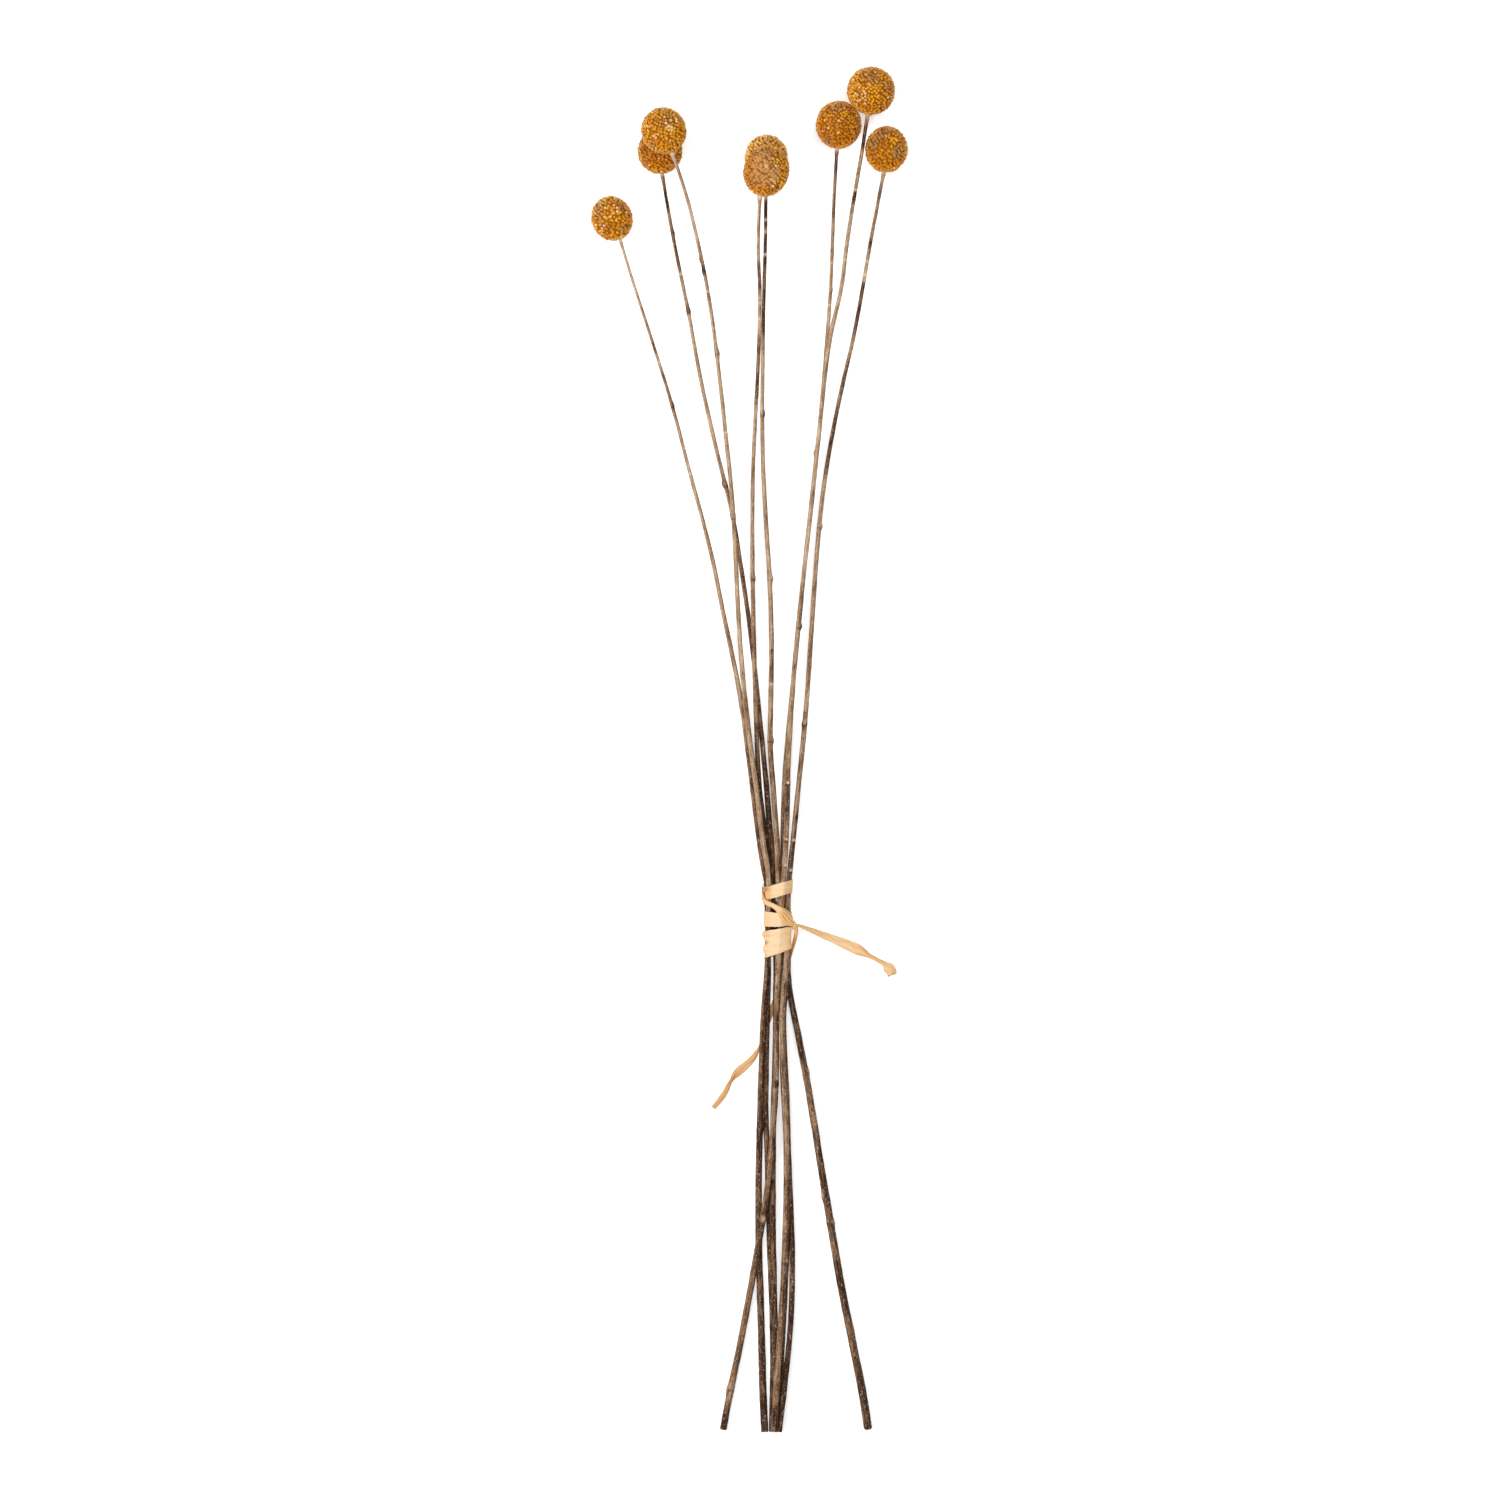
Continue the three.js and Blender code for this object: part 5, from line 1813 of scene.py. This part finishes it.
TAILS = (
    RaffiaTail(
        name="raffia_loose_end_right", node="raffia_tail_right", width=4.6, seed=3, frays=5, fray_length=2.2,
        shade_darkening=0.1,
        way=((7.9, -2.2, 7.3), (9.6, -2.6, 6.5), (11.6, -3.3, 5.4), (13.8, -4.2, 4.1), (16.5, -5.3, 2.9),
             (19.4, -6.5, 1.8), (22.7, -7.8, 1.1), (27.2, -9.7, 0.8), (33.8, -12.5, 0.8), (39.5, -15.3, 0.8),
             (43.9, -17.6, 0.8), (47.3, -19.8, 0.9), (49.1, -21.9, 1.0), (50.2, -24.6, 0.9)),
        places=(TailPlace(0, 1.5, 20, 60, 0.6), TailPlace(0.06, 1.9, 15, 60, 0.45),
                TailPlace(0.2, 2.8, 5, 40, 0.3), TailPlace(0.38, 3.8, 0, 25, 0.2),
                TailPlace(0.54, 4.7, -3, 15, 0.22), TailPlace(0.62, 4.8, 0, 20, 0.3),
                TailPlace(0.68, 3.9, 10, 60, 0.45), TailPlace(0.74, 2.8, 25, 80, 0.55),
                TailPlace(0.83, 2.7, 15, 80, 0.5), TailPlace(0.875, 2.8, 8, 50, 0.4),
                TailPlace(0.91, 4.9, 0, 25, 0.25), TailPlace(0.95, 5.4, -10, 30, 0.3),
                TailPlace(1.0, 4.6, -15, 30, 0.3))),
    RaffiaTail(
        name="raffia_loose_end_left", node="raffia_tail_left", width=3.6, seed=8, frays=2, fray_length=1.0,
        shade_darkening=0.35,
        way=((8.0, -2.9, 7.3), (8.1, -5.4, 6.2), (7.6, -8.2, 4.7), (6.9, -10.8, 3.4), (6.1, -13.6, 2.4),
             (5.4, -16.4, 1.6), (4.6, -19.8, 1.1), (3.7, -23, 0.8), (0.2, -32.5, 0.8), (-2.4, -39, 0.8),
             (-5.2, -47.5, 0.8), (-8, -55.5, 0.8), (-11, -60.8, 0.8), (-14.5, -64.2, 0.8),
             (-18, -67.4, 0.8), (-20.8, -71.4, 0.8), (-23.6, -76.6, 0.8), (-28.5, -82.8, 0.8)),
        places=(TailPlace(0, 1.8, 10, 60, 0.5), TailPlace(0.04, 2.0, 10, 60, 0.4),
                TailPlace(0.08, 2.0, 15, 60, 0.6), TailPlace(0.12, 1.6, 25, 50, 0.9),
                TailPlace(0.2, 1.3, 20, 30, 0.4), TailPlace(0.42, 2.8, 0, 30, 0.3),
                TailPlace(0.56, 1.6, 10, 60, 0.3), TailPlace(0.61, 1.2, 20, 80, 0.5),
                TailPlace(0.67, 2.6, 5, 50, 0.5), TailPlace(0.74, 3.7, -5, 35, 0.45),
                TailPlace(0.80, 3.5, 5, 30, 0.65), TailPlace(0.835, 2.3, 30, 70, 1.0),
                TailPlace(0.88, 2.5, 10, 40, 0.6), TailPlace(0.95, 2.6, 0, 25, 0.55),
                TailPlace(1.0, 2.1, 0, 25, 0.6))),
)


# ---------------------------------------------------------------- studio


@dataclass(frozen=True)
class SoftLight:
    """A soft box: where it stands, how large it is, in metres, and its power in watts."""

    name: str
    place: tuple[float, float, float]
    size: float
    power: float


@dataclass(frozen=True)
class Studio:
    """A white floor, soft lights overhead and from the left, and a long lens that looks straight down."""

    view_height: float = 0.6588  # of the floor that the picture shows from top to bottom
    camera_height: float = 30.0
    level: float = 0.008  # height at which the picture's scale holds
    sensor: float = 36.0
    floor_side: float = 14.0
    floor_points: int = 33  # along each side
    floor_rise: float = 0.04
    floor_rises: tuple[float, float] = (2.0, 7.0)  # distances from the middle between which it rises
    sky: float = 0.2
    sky_colour: Colour = (1.0, 1.0, 1.0)
    lights: tuple[SoftLight, ...] = (
        SoftLight("key", (-1.3, -0.8, 2.2), 1.0, 42.0),
        SoftLight("overhead", (0.1, 0.8, 2.7), 1.6, 43.0),
    )

    def build_camera(self) -> None:
        """Makes the camera over the frame's origin, with the heads at the top of the picture."""
        data = bpy.data.cameras.new("camera")
        data.sensor_width = self.sensor
        data.lens = self.sensor * (self.camera_height - self.level) / self.view_height
        data.clip_end = 10 * self.camera_height
        camera = bpy.data.objects.new("camera", data)
        camera.location = (0.0, 0.0, self.camera_height)
        bpy.context.scene.collection.objects.link(camera)
        bpy.context.scene.camera = camera

    def build_floor(self) -> None:
        """Makes the floor as a gently dished grid, level where the bunch lies."""
        count = self.floor_points
        side = np.linspace(-self.floor_side / 2, self.floor_side / 2, count)
        x, y = np.meshgrid(side, side, indexing="ij")
        rise = self.floor_rise * smooth_step(*self.floor_rises, np.hypot(x, y))
        points = np.stack([x, y, rise], -1).reshape(-1, 3)
        index = np.arange(count * count).reshape(count, count)
        quads = np.stack([index[:-1, :-1], index[1:, :-1], index[1:, 1:], index[:-1, 1:]], -1).reshape(-1, 4)
        mesh = bpy.data.meshes.new("floor")
        mesh.from_pydata(points.tolist(), [], quads.tolist())
        mesh.shade_smooth()
        mesh.materials.append(FloorFinish().material())
        floor = bpy.data.objects.new("floor", mesh)
        bpy.context.scene.collection.objects.link(floor)

    def build_lights(self) -> None:
        """Makes the soft boxes, aimed at the bunch, and an even white sky."""
        for light in self.lights:
            data = bpy.data.lights.new(light.name, "AREA")
            data.shape = "DISK"
            data.size = light.size
            data.energy = light.power
            lamp = bpy.data.objects.new(light.name, data)
            lamp.location = light.place
            lamp.rotation_mode = "QUATERNION"
            lamp.rotation_quaternion = (-lamp.location).to_track_quat("-Z", "Y")
            lamp.visible_camera = False
            bpy.context.scene.collection.objects.link(lamp)
        world = bpy.data.worlds.new("sky")
        world.use_nodes = True
        background = world.node_tree.nodes["Background"]
        background.inputs["Color"].default_value = (*self.sky_colour, 1.0)
        background.inputs["Strength"].default_value = self.sky
        scene = bpy.context.scene
        scene.world = world
        scene.view_settings.view_transform = "Standard"


# ---------------------------------------------------------------- the bunch


def build_bunch() -> None:
    """Builds every piece of the bunch: the cords first, then the tie, the stems and the heads."""
    raffia = RaffiaFinish().material()
    for tail in TAILS:
        tail.build(raffia)
    lines = [StemLine(f"stem_{number}") for number in range(1, len(STEM_LOOKS) + 1)]
    RaffiaTie(TautOutline(lines)).build(raffia)
    bark = BarkFinish().material()
    florets = FloretFinish().material()
    for number, (line, stem_look, head_look) in enumerate(zip(lines, STEM_LOOKS, HEAD_LOOKS), start=1):
        Stem(number, line, stem_look).build(bark)
        FlowerHead(number, line, head_look).build(florets)


def main() -> None:
    """Builds the camera, the bunch, the floor and the lights, and reports each piece."""
    logging.basicConfig(level=logging.INFO, format="%(message)s")
    studio = Studio()
    studio.build_camera()
    build_bunch()
    studio.build_floor()
    studio.build_lights()


if __name__ == "__main__":
    main()
